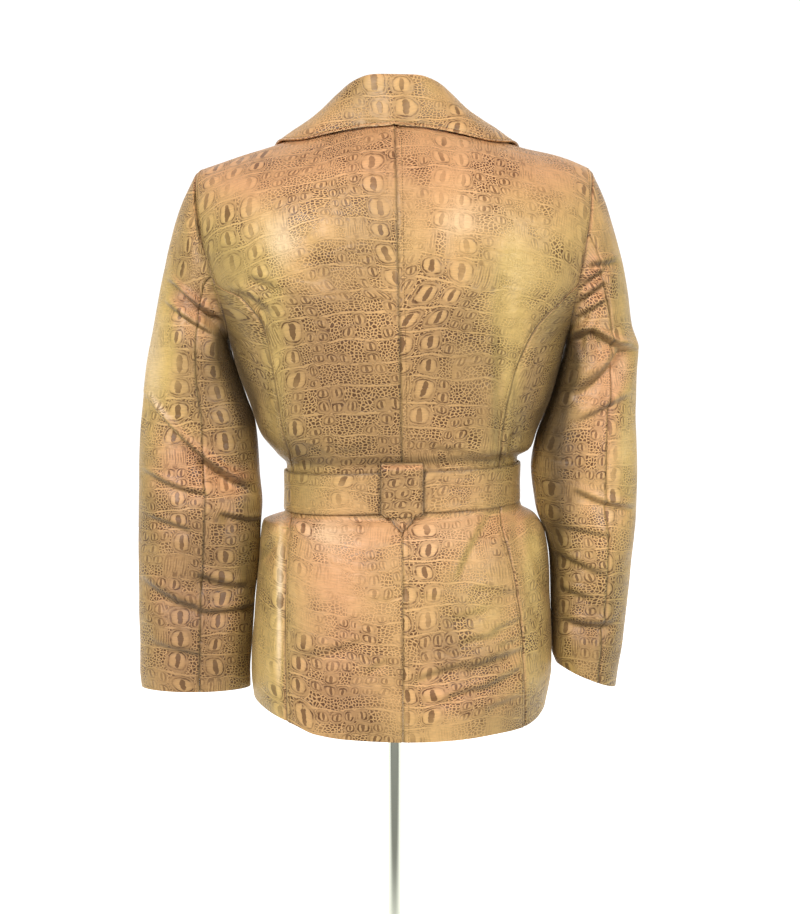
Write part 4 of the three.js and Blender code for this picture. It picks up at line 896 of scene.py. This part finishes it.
def tab_piece():
    share = np.concatenate([[-1, -0.97, -0.92], np.linspace(-0.85, 0.85, 19), [0.92, 0.97, 1]])[:, None]
    tip = mix(TAB_TIP, TAB_SIDE_END, np.abs(share))
    down = np.linspace(0, 1, 14)[None]
    upper = np.broadcast_to(np.linspace(TAB_TOP, TAB_SIDE_END + 5, 34)[None], (len(share), 34))
    level = np.concatenate([upper, mix(TAB_SIDE_END + 5, tip, down)[:, 1:]], 1)
    x = TAB_MIDDLE_X + share * TAB_WIDE / 2
    angle = angle_of(x, level, -1)
    normal = body_normal(angle, level)
    over = ease((TAB_TOP - 1 - level) / 8) * ease((level - TAB_LOWER_SEAM) / 9)
    lift = TAB_GAP + (BELT_GAP + BELT_CLOTH + 0.8) * over + TAB_CLOTH
    flat = body_at(angle, level) + normal * lift[..., None]
    side_run = (1 - np.abs(share)) * TAB_WIDE / 2
    rim = np.minimum(side_run, np.minimum(TAB_TOP - level, (level - tip) * 0.75))
    dip = groove(rim, TAB_STITCH, 0.35, 0.8) - 0.5 * hill(rim, 0, 0.7)
    dip = dip + groove(level, TAB_LOWER_SEAM + 0.5, 0.35, 0.9) * (side_run > 2)
    points = flat + normal * dip[..., None]
    shade = 0.45 * hill(rim, 0, 1.1) + 0.3 * hill(rim, TAB_STITCH, 0.6)
    keep_piece("keeper_tab", points, grid_normal(points, normal), TAB_CLOTH - 0.2, flat, 1, None, shade)


belt_piece()
tab_piece()

# %% [markdown]
# The dress form fills the jacket. Its rings follow the body's own sections, moved in by a few millimetres,
# and the shoulders end in plain caps. The neck is a short oval column that ends inside the collar.

# %% Dress form
FORM_INSET, FORM_POINTS = 7, 44
NECK_POINTS, NECK_Y = 72, -8
FORM_LEVELS = (345, 347, 349, 354, 361, *range(370, 500, 10), *range(503, 610, 6), *range(620, 780, 10))
NECK = table(
    "z wide deep",
    (880, 62, 58), (900, 59, 55), (920, 56, 52), (945, 51, 48), (958, 49.6, 46.6), (964, 49, 46),
    (966.5, 47.6, 44.6), (968, 45, 42),
)


def capped_mesh(name, rings):
    """A closed mesh from rings of points, with a fan at either end."""
    count, size = rings.shape[:2]
    number = np.arange(count * size).reshape(count, size).T
    faces = quads(number, True).tolist()
    foot, head = count * size, count * size + 1
    around = np.arange(size)
    faces += [[foot, number[(k + 1) % size, 0], number[k, 0]] for k in around]
    faces += [[head, number[k, -1], number[(k + 1) % size, -1]] for k in around]
    points = np.concatenate([rings.reshape(-1, 3), rings[:1].mean(axis=1), rings[-1:].mean(axis=1)])
    return link_mesh(name, points, faces, crease_angle=40)


def form_ring(level):
    at = min(level, CHEST)
    foot = 12 * ease((349 - level) / 4) + 4 * ease((361 - level) / 12) * (level > 345)
    inset = FORM_INSET + foot + 13 * hill(level, 503, 14) + 8 * hill(level, 592, 14)
    narrow = ease((level - 690) / 60)
    left = -mix(-body["left"](at) - inset, -armhole["frontLeft"](level) - 10, narrow)
    right = mix(body["right"](at) - inset, armhole["frontRight"](level) - 10, narrow)
    turn = np.pi * np.arange(FORM_POINTS) / FORM_POINTS
    share = np.concatenate([-np.cos(turn), np.cos(turn)])
    face = np.repeat([-1.0, 1.0], FORM_POINTS)
    x = mix(left, right, (share + 1) / 2)
    y = np.where(face < 0, body_at(angle_of(x, at, -1), at)[:, 1], body_at(angle_of(x, at, 1), at)[:, 1])
    reach = np.maximum(np.abs(y) - inset, 2) * np.sqrt(np.maximum(1 - np.abs(share) ** 8, 0))
    if level <= CHEST:
        return np.stack([x, face * reach, np.full(len(x), float(level))], -1)
    lean = (TOP - level) / (TOP - CHEST) * (math.pi / 2)
    slack = 1.2 + 9 * ease((84 - np.abs(x)) / 30)
    drop = (CLOTH + slack) / math.cos(math.atan(SHOULDER_SLOPE))
    y = RIDGE_Y + (face * reach - RIDGE_Y) * math.sin(lean)
    return np.stack([x, y, CHEST + (ridge(x) - drop - CHEST) * math.cos(lean)], -1)


form_levels = [*FORM_LEVELS, *np.linspace(782, TOP - 1, 16)]
form_torso = capped_mesh("form_torso", np.array([form_ring(level) for level in form_levels]))
turn = np.linspace(0, 2 * math.pi, NECK_POINTS, endpoint=False)
neck_rings = [
    np.stack([wide * np.cos(turn), NECK_Y + deep * np.sin(turn), np.full(NECK_POINTS, z)], -1)
    for z, wide, deep in zip(*NECK.values())
]
form_neck = capped_mesh("form_neck", np.array(neck_rings))
print("form rings", len(form_levels))

# %% [markdown]
# Topstitching repeats one small thing along a line, which is what Geometry Nodes are for. The tree
# takes a line, puts a point on it for every stitch, turns a short thread to lie along the line on the
# cloth, and makes it all real mesh. The lines are read from the cloth's own grid at a distance from an edge.

# %% Geometry Nodes tree for stitches
def feed(tree, node, inputs):
    """Sets a node's inputs, which may be values or other nodes' sockets."""
    for key, value in dict(inputs).items():
        if isinstance(value, bpy.types.NodeSocket):
            tree.links.new(value, node.inputs[key])
        else:
            node.inputs[key].default_value = value


def add(tree, kind, inputs=(), **settings):
    """A node with its settings and its inputs."""
    made = tree.nodes.new(kind)
    for key, value in settings.items():
        setattr(made, key, value)
    feed(tree, made, inputs)
    return made


STITCH_SIZES = {"Pitch": 3.1 * MM, "Length": 2.5 * MM, "Thread": 0.55 * MM}


def stitch_tree():
    tree = bpy.data.node_groups.new("stitch_line", "GeometryNodeTree")
    tree.interface.new_socket("Geometry", in_out="INPUT", socket_type="NodeSocketGeometry")
    for key, value in STITCH_SIZES.items():
        made = tree.interface.new_socket(key, in_out="INPUT", socket_type="NodeSocketFloat")
        made.default_value = value
    tree.interface.new_socket("Material", in_out="INPUT", socket_type="NodeSocketMaterial")
    tree.interface.new_socket("Geometry", in_out="OUTPUT", socket_type="NodeSocketGeometry")
    given = add(tree, "NodeGroupInput").outputs
    line = add(tree, "GeometryNodeMeshToCurve", {"Mesh": given["Geometry"]})
    spaced = add(
        tree, "GeometryNodeResampleCurve",
        {"Curve": line.outputs[0], "Length": given["Pitch"]}, mode="LENGTH",
    )
    out = add(tree, "GeometryNodeInputNamedAttribute", {"Name": "out"}, data_type="FLOAT_VECTOR")
    along = add(tree, "GeometryNodeInputTangent")
    up = add(tree, "FunctionNodeAlignRotationToVector", {"Vector": out.outputs["Attribute"]}, axis="Z")
    turned = add(
        tree, "FunctionNodeAlignRotationToVector",
        {"Rotation": up.outputs[0], "Vector": along.outputs[0]}, axis="X", pivot_axis="Z",
    )
    ball = add(tree, "GeometryNodeMeshUVSphere", {"Segments": 8, "Rings": 5, "Radius": 0.5})
    sides = {"X": given["Length"], "Y": given["Thread"], "Z": given["Thread"]}
    size = add(tree, "ShaderNodeCombineXYZ", sides)
    thread = add(tree, "GeometryNodeTransform", {"Geometry": ball.outputs["Mesh"], "Scale": size.outputs[0]})
    many = add(
        tree, "GeometryNodeInstanceOnPoints",
        {"Points": spaced.outputs[0], "Instance": thread.outputs[0], "Rotation": turned.outputs[0]},
    )
    real = add(tree, "GeometryNodeRealizeInstances", {"Geometry": many.outputs[0]})
    smooth = add(tree, "GeometryNodeSetShadeSmooth", {"Geometry": real.outputs[0]})
    coloured = add(
        tree, "GeometryNodeSetMaterial", {"Geometry": smooth.outputs[0], "Material": given["Material"]}
    )
    add(tree, "NodeGroupOutput", {"Geometry": coloured.outputs[0]})
    return tree


stitches_tree = stitch_tree()

# %% Lines for the stitches, read from the cloth
def line_in(name, distance, along_rows=True, last=False, start=0, stop=None):
    """Points and outward directions of a line at a distance from one edge of a piece's grid."""
    points, normal = grids[name]
    if not along_rows:
        points, normal = points.transpose(1, 0, 2), normal.transpose(1, 0, 2)
    if last:
        points, normal = points[::-1], normal[::-1]
    run = np.linalg.norm(np.diff(points, axis=0, prepend=points[:1]), axis=-1).cumsum(axis=0)
    rows = range(points.shape[1])[start:stop]

    def read(grid):
        return np.array([[np.interp(distance, run[:, j], grid[:, j, k]) for k in range(3)] for j in rows])

    return read(points), unit(read(normal))


def stitched(name, lines, thread_material, **sizes):
    """One piece of real stitches along several lines."""
    mesh = bpy.data.meshes.new(name + "_lines")
    points, edges, outs = [], [], []
    for line, out in lines:
        first = len(points)
        points += ((line + 0.12 * out) * MM).tolist()
        outs += out.tolist()
        edges += [(first + i, first + i + 1) for i in range(len(line) - 1)]
    mesh.from_pydata(points, edges, [])
    stored = mesh.attributes.new("out", "FLOAT_VECTOR", "POINT")
    stored.data.foreach_set("vector", np.array(outs, np.float32).ravel())
    rough = in_scene(name + "_lines", mesh)
    nodes = rough.modifiers.new("stitches", "NODES")
    nodes.node_group = stitches_tree
    values = {"Material": thread_material, **STITCH_SIZES, **sizes}
    for item in stitches_tree.interface.items_tree:
        if item.in_out == "INPUT" and item.name in values:
            nodes[item.identifier] = values[item.name]
    bpy.context.view_layer.update()
    seen = rough.evaluated_get(bpy.context.evaluated_depsgraph_get())
    made = in_scene(name, bpy.data.meshes.new_from_object(seen))
    bpy.data.objects.remove(rough)
    print(name, "triangles", sum(len(p.vertices) - 2 for p in made.data.polygons))
    return made


# %% [markdown]
# The finishes come next. Colours are written as they would be picked in a paint program, in sRGB, and one
# function turns them into the linear light values that the renderer counts with.

# %% Colours and small shader helpers
def colour(code):
    """Linear colour from an sRGB hex code."""
    parts = [int(code[i:i + 2], 16) / 255 for i in (0, 2, 4)]
    return (*(c / 12.92 if c <= 0.04045 else ((c + 0.055) / 1.055) ** 2.4 for c in parts), 1)


def finish_named(name):
    """A material with an empty tree but for its output and its surface."""
    made = bpy.data.materials.new(name)
    made.use_nodes = True
    tree = made.node_tree
    tree.nodes.clear()
    surface = add(tree, "ShaderNodeBsdfPrincipled")
    add(tree, "ShaderNodeOutputMaterial", {"Surface": surface.outputs[0]})
    return made, tree, surface


def maths(tree, what, a, b=0.0, c=0.0, clamp=False):
    return add(tree, "ShaderNodeMath", {0: a, 1: b, 2: c}, operation=what, use_clamp=clamp).outputs[0]


def between(tree, value, low, high):
    """0 below low, 1 above high and smooth between."""
    made = add(
        tree, "ShaderNodeMapRange",
        {"Value": value, "From Min": low, "From Max": high}, interpolation_type="SMOOTHSTEP",
    )
    return made.outputs["Result"]


def mixed(tree, share, a, b):
    """A colour between a and b. Each may be a colour or another node's socket."""
    return add(tree, "ShaderNodeMix", {0: share, 6: a, 7: b}, data_type="RGBA").outputs[2]


def bumped(tree, surface, height, strength, distance):
    bump = add(tree, "ShaderNodeBump", {"Height": height, "Strength": strength, "Distance": distance})
    feed(tree, surface, {"Normal": bump.outputs[0]})


# %% [markdown]
# The cloth is a shot jacquard: a satin ground with a crocodile-skin figure woven in. Large rounded scales
# with a double outline and a dark bar in the middle stand in columns. Smaller and narrower ones fill in,
# pale lines run between the rows, and small pebbles fill the rest. A bent grid of cells gives the scales.
# Each cell picks a kind by a fixed random number, and is drawn by the distance from an outline in mm.
# The colour under them follows the stored "warm" value, which is partly the real two thread colours of the
# shot cloth and partly painted sheen. The stored "light" value paints highlights and painted shade over it,
# and the figure fades in patches as painted sheen.

# %% Shot jacquard
SCALE_WIDE, SCALE_TALL = 28.5, 25
PEBBLE = 3.4
ROUNDNESS = 2.7
OLIVE_GROUND, WARM_GROUND = "DDBA70", "ECB17B"
OLIVE_FIGURE, WARM_FIGURE = "6F5229", "764A2C"
# The first two colours here are a painted highlight and a painted shade brown. SHEEN tints the shader's own
# sheen.
HIGHLIGHT, PAINTED_SHADE_BROWN, SHEEN = "F2DAB4", "4C3B25", "FFD9A8"


def lattice(tree, bend, m):
    """Big, small and narrow scales in rows: where they are, and the distance in mm from their outline."""
    def pick_of(key, value):
        kind = "1D" if key == "W" else "2D"
        made = add(tree, "ShaderNodeTexWhiteNoise", {key: value}, noise_dimensions=kind)
        return made.outputs["Value"]

    apart = add(tree, "ShaderNodeSeparateXYZ", {"Vector": bend})
    row = m("DIVIDE", apart.outputs["Y"], SCALE_TALL)
    j = m("FLOOR", row)
    row_pick = pick_of("W", j)
    column = m("MULTIPLY_ADD", row_pick, 0.3, m("DIVIDE", apart.outputs["X"], SCALE_WIDE))
    i = m("FLOOR", column)
    column_pick = pick_of("W", m("ADD", i, 40.5))
    cell = add(tree, "ShaderNodeCombineXYZ", {"X": i, "Y": j})
    pick = pick_of("Vector", cell.outputs[0])
    big = m("MULTIPLY", m("LESS_THAN", column_pick, 0.47), m("LESS_THAN", pick, 0.86))
    narrow = m("MULTIPLY", m("SUBTRACT", 1.0, big), m("GREATER_THAN", pick, 0.9))
    small = m("SUBTRACT", m("SUBTRACT", 1.0, big), narrow)
    across = m("ADD", m("MULTIPLY_ADD", narrow, 2.0, 1.0), small)
    up = m("ADD", 1.0, small)
    local = []
    for share, parts, size in ((column, across, SCALE_WIDE), (row, up, SCALE_TALL)):
        many = m("MULTIPLY", share, parts)
        half = m("DIVIDE", size / 2, parts)
        reach = m("MULTIPLY", m("SUBTRACT", m("FRACT", many), 0.5), m("MULTIPLY", half, 2.0))
        room = m("SUBTRACT", half, m("MULTIPLY_ADD", big, 0.9, 1.7))
        axis = m("MULTIPLY", room, m("MULTIPLY_ADD", pick, 0.26, 0.78))
        local.append((m("FLOOR", many), m("ABSOLUTE", m("DIVIDE", reach, axis)), axis))
    (ci, x, wide), (cj, y, tall) = local
    part = add(tree, "ShaderNodeCombineXYZ", {"X": ci, "Y": m("MULTIPLY_ADD", cj, 3.0, 11.0)})
    part_pick = pick_of("Vector", part.outputs[0])
    chance = m("ADD", big, m("MULTIPLY_ADD", small, 0.52, m("MULTIPLY", narrow, 0.85)))
    there = m("LESS_THAN", part_pick, m("ADD", chance, m("MULTIPLY", big, 0.1)))
    radius = m("POWER", m("ADD", m("POWER", x, ROUNDNESS), m("POWER", y, ROUNDNESS)), 1 / ROUNDNESS)
    off = m("MULTIPLY", m("SUBTRACT", radius, 1.0), m("MINIMUM", wide, tall))
    bar = m("ADD", m("POWER", m("DIVIDE", x, 0.3), 2.0), m("POWER", m("DIVIDE", y, 0.85), 4.0))
    edge = m("MULTIPLY", m("SUBTRACT", 0.5, m("ABSOLUTE", m("SUBTRACT", m("FRACT", row), 0.5))), SCALE_TALL)
    return there, off, bar, edge, narrow


def jacquard(name):
    made, tree, surface = finish_named(name)

    def m(what, *values, **more):
        return maths(tree, what, *values, **more)

    def noise(vector, size, detail=1.0, part=0):
        values = {"Vector": vector, "Scale": 1 / size, "Detail": detail}
        return add(tree, "ShaderNodeTexNoise", values).outputs[part]

    def vector(what, a, b):
        return add(tree, "ShaderNodeVectorMath", {0: a, 1: b}, operation=what).outputs[0]

    def line(off, at, half):
        return between(tree, m("ABSOLUTE", m("SUBTRACT", off, at)), half + 0.35, half)

    place = add(tree, "ShaderNodeUVMap", uv_map="UVMap").outputs[0]
    flat = vector("MULTIPLY", place, (1000, 1000, 0))
    bend = flat
    for size, push in ((80, 26), (17, 5)):
        centred = vector("SUBTRACT", noise(flat, size, 1.0, 1), (0.5, 0.5, 0.5))
        shift = vector("MULTIPLY", centred, (push, push, 0))
        bend = vector("ADD", bend, shift)
    there, off, bar, edge, narrow = lattice(tree, bend, m)
    brush = noise(flat, 2.8, 1.0)
    worn = m("MULTIPLY_ADD", noise(flat, 9, 1.0), 2.6, -0.6, clamp=True)
    rough_off = m("ADD", off, m("MULTIPLY_ADD", brush, 1.7, -0.85))
    rings = m("MAXIMUM", line(rough_off, 0, 0.5), m("MULTIPLY", line(rough_off, 2.3, 0.3), 0.8))
    # Beside the woven rings, a soft darker band inside each scale's rim is painted shade that makes the
    # scale look rounded.
    outline = m("MAXIMUM", m("MULTIPLY", rings, worn), m("MULTIPLY", between(tree, off, -3.2, 0.2), 0.3))
    pupil = m("MULTIPLY", between(tree, m("MULTIPLY_ADD", noise(flat, 4.5, 2.0), 2.4, bar), 2.4, 1.9), 0.85)
    scale_dark = m("MULTIPLY", m("MAXIMUM", outline, pupil), m("MULTIPLY_ADD", narrow, -0.3, 1.0))
    inside = m("MULTIPLY", there, between(tree, off, 3.0, 2.7))

    pebble_place = vector("MULTIPLY", bend, (0.9 / PEBBLE, 1.1 / PEBBLE, 0))
    pebbles = add(
        tree, "ShaderNodeTexVoronoi", {"Vector": pebble_place, "Scale": 1.0, "Randomness": 0.9},
        voronoi_dimensions="2D", feature="DISTANCE_TO_EDGE",
    )
    pebble_dark = between(tree, pebbles.outputs["Distance"], 0.1, 0.24)
    clear = between(tree, edge, 0.7, 1.3)
    border = m("MULTIPLY", line(edge, 1.6, 0.1), 0.5)
    small = m("MAXIMUM", m("MULTIPLY", pebble_dark, clear), border)
    figure = add(tree, "ShaderNodeMix", {0: inside, 2: small, 3: scale_dark}, data_type="FLOAT").outputs[0]

    warm, light, bold = (
        add(tree, "ShaderNodeAttribute", attribute_name=key).outputs["Fac"]
        for key in ("warm", "light", "bold")
    )
    # A large noise and the stored bold value fade the figure in patches where the satin's sheen would wash
    # it out, as painted sheen.
    patchy_sheen = m("MULTIPLY_ADD", noise(flat, 48, 3.0), 2.6, -0.95)
    dark_share = m("MULTIPLY", figure, m("MULTIPLY_ADD", m("ADD", bold, patchy_sheen), 1.2, -0.26, clamp=True))
    ground = mixed(tree, warm, colour(OLIVE_GROUND), colour(WARM_GROUND))
    # Where the stored light is high, the ground turns towards a painted highlight.
    pale = mixed(tree, between(tree, light, 0.58, 0.85), ground, colour(HIGHLIGHT))
    drawn = mixed(tree, warm, colour(OLIVE_FIGURE), colour(WARM_FIGURE))
    face = mixed(tree, dark_share, pale, drawn)
    # Where the stored light is low, the colour turns towards a painted shade brown, in creases and the gaps
    # beside the sleeves.
    shaded = mixed(tree, m("MULTIPLY_ADD", light, -1.7, 0.85, clamp=True), face, colour(PAINTED_SHADE_BROWN))
    slub = noise(vector("MULTIPLY", flat, (0.16, 1, 0)), 1.5, 2.0)
    # The stored light also makes the colour lighter or darker, as painted light and shade. The slub grain is
    # the weave's own.
    lit = m("MAXIMUM", m("MULTIPLY_ADD", light, 1.1, 0.37), 0.85)
    value = m("MULTIPLY", lit, m("MULTIPLY_ADD", slub, 0.5, 0.75))
    deeper = add(tree, "ShaderNodeHueSaturation", {"Color": shaded, "Value": value})
    uneven = m("MULTIPLY_ADD", noise(flat, 22, 2.0), 0.34, 0.33)
    feed(tree, surface, {
        "Base Color": deeper.outputs[0], "Roughness": m("MULTIPLY_ADD", figure, -0.08, uneven), "IOR": 1.5,
        "Sheen Weight": 0.3, "Sheen Roughness": 0.35, "Sheen Tint": colour(SHEEN),
    })
    stretched = vector("MULTIPLY", flat, (0.6, 1.3, 0))
    fold = m("ABSOLUTE", m("SUBTRACT", noise(stretched, 34, 1.5), 0.5))
    crumple = between(tree, fold, 0.0, 0.11)
    uneven_height = m("MULTIPLY_ADD", crumple, 0.35, m("MULTIPLY", slub, 0.25))
    height = m("ADD", m("MULTIPLY", figure, -0.45), uneven_height)
    bumped(tree, surface, height, 0.8, 0.0011)
    return made


shot_jacquard = jacquard("crocodile_figured_shot_jacquard")

# %% Thread, cover, chrome, horn and paint
def plain_finish(name, code, rough, bump=None):
    """A finish of one colour with a little unevenness. bump is its strength, depth and size in metres."""
    made, tree, surface = finish_named(name)
    feed(tree, surface, {"Roughness": rough, "Base Color": colour(code)})
    if bump:
        strength, depth, size = bump
        place = add(tree, "ShaderNodeTexCoord").outputs["Object"]
        grain = add(tree, "ShaderNodeTexNoise", {"Vector": place, "Scale": 1 / size, "Detail": 3.0})
        bumped(tree, surface, grain.outputs[0], strength, depth)
    return made, tree, surface


thread, _, _ = plain_finish("polyester_topstitching_thread", "86673A", 0.45)
cover, _, _ = plain_finish("cotton_form_cover", "E9E4DA", 0.85, (0.4, 0.0002, 0.0008))
chrome, chrome_tree, chrome_surface = plain_finish("polished_chrome_tube", "C9CDBF", 0.1)
feed(chrome_tree, chrome_surface, {"Metallic": 1.0})
horn, _, _ = plain_finish("horn_look_resin", "8A6A45", 0.35)
paint, _, _ = plain_finish("sprayed_base_paint", "D9D9D6", 0.45, (0.15, 0.0001, 0.002))

# %% [markdown]
# Each fine piece now takes the place of its imported solid, rides on the one body and takes its finish.
# The size and area that each cloth piece was cut to, measured on its flat form, are read back at the end.

# %% Dress the model
def on_root(piece, slot_name, *finishes):
    for finish in finishes:
        piece.data.materials.append(finish)
    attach(piece, "root")


for name, piece in cloth_pieces.items():
    on_root(piece, "jacquard", shot_jacquard)
    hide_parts(name)
for piece in (form_torso, form_neck):
    on_root(piece, "form_cover", cover)
    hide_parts("dress_form")
for name, finish in (("pole", chrome), ("base", paint), ("buckle_frame", horn), ("buckle_pin", horn)):
    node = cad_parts[name]
    node.data.materials.clear()
    node.data.materials.append(finish)

stitch_pieces = [
    stitched("collar_stitches", [
        line_in("collar", COLLAR_STITCH, along_rows=False, last=True),
    ], thread),
    stitched("tab_stitches", [
        line_in("keeper_tab", TAB_STITCH, start=2, stop=-3),
        line_in("keeper_tab", TAB_STITCH, last=True, start=2, stop=-3),
    ], thread, Pitch=2.6 * MM, Length=2.1 * MM),
    stitched("seam_stitches", [
        line_in("back_right", CENTRE_STITCH),
        line_in("back_right", TOPSTITCH, last=True),
        line_in("back_left", TOPSTITCH, last=True),
        line_in("front_left", TOPSTITCH),
        line_in("front_right", TOPSTITCH),
    ], thread),
]
for piece in stitch_pieces:
    on_root(piece, "jacquard")

for name, piece in cloth_pieces.items():
    size = (piece["flat_wide"] * 1.001, piece["flat_long"] * 1.001)
    min(piece["flat_area"], size[0] * size[1])

# %% [markdown]
# The stage is a plain pale floor. Behind the object it glows white, as painted light, and towards the
# camera, outside the picture, its colour fades to grey as painted shade, because chrome only looks like
# chrome when it has something darker to mirror.

# %% Floor
FLOOR_HALF = 4.0
FLOOR_DROP = 0.0005
FLOOR_WHITE, FLOOR_GREY = "F6F5F3", "A4A4A2"
corners = [(-1, -1), (1, -1), (1, 1), (-1, 1)]
floor_points = np.array([(x * FLOOR_HALF, y * FLOOR_HALF, -FLOOR_DROP) for x, y in corners])
floor = link_mesh("floor", floor_points / MM, [(0, 1, 2, 3)])
floor_finish, floor_tree, floor_surface = plain_finish("pale_floor_painted_glow", FLOOR_WHITE, 0.9)
place = add(floor_tree, "ShaderNodeTexCoord").outputs["Object"]
depth = add(floor_tree, "ShaderNodeSeparateXYZ", {"Vector": place}).outputs["Y"]
# This mask is 0 towards the camera and 1 behind the object. It sets both the painted glow and the painted
# grey.
behind = between(floor_tree, depth, -0.45, 0.12)
floor_colour = mixed(floor_tree, behind, colour(FLOOR_GREY), colour(FLOOR_WHITE))
glow = {"Emission Color": (1, 1, 1, 1), "Emission Strength": behind}
feed(floor_tree, floor_surface, {"Base Color": floor_colour, **glow})
floor.data.materials.append(floor_finish)

# %% [markdown]
# One soft light stands upper left in front and a weaker one fills from the right. The sky is white
# behind the object, as the photo's background is, and grey towards the camera.

# %% Lights and sky
def area_light(name, place, aim, wide, power):
    made = in_scene(name, bpy.data.lights.new(name, "AREA"))
    made.location = place
    away = np.array(place) - np.array(aim)
    tilt = math.atan2(math.hypot(away[0], away[1]), away[2])
    made.rotation_euler = (tilt, 0, math.atan2(away[0], -away[1]))
    made.data.size = wide
    made.data.energy = power


area_light("key_light", (-1.3, -2.5, 2.0), (0, 0, 0.55), 0.9, 60)
area_light("fill_light", (1.7, -2.2, 1.3), (0, 0, 0.5), 1.0, 30)
sky = bpy.data.worlds.new("studio")
bpy.context.scene.world = sky
sky.use_nodes = True
sky_tree = sky.node_tree
backdrop = sky_tree.nodes["Background"]
way = add(sky_tree, "ShaderNodeTexCoord").outputs["Generated"]
ahead = add(sky_tree, "ShaderNodeSeparateXYZ", {"Vector": way}).outputs["Y"]
brightness = maths(sky_tree, "MULTIPLY_ADD", between(sky_tree, ahead, 0.1, 0.8), 0.85, 0.25)
feed(sky_tree, backdrop, {"Color": (1, 1, 1, 1), "Strength": brightness})
bpy.context.scene.view_settings.view_transform = "Standard"
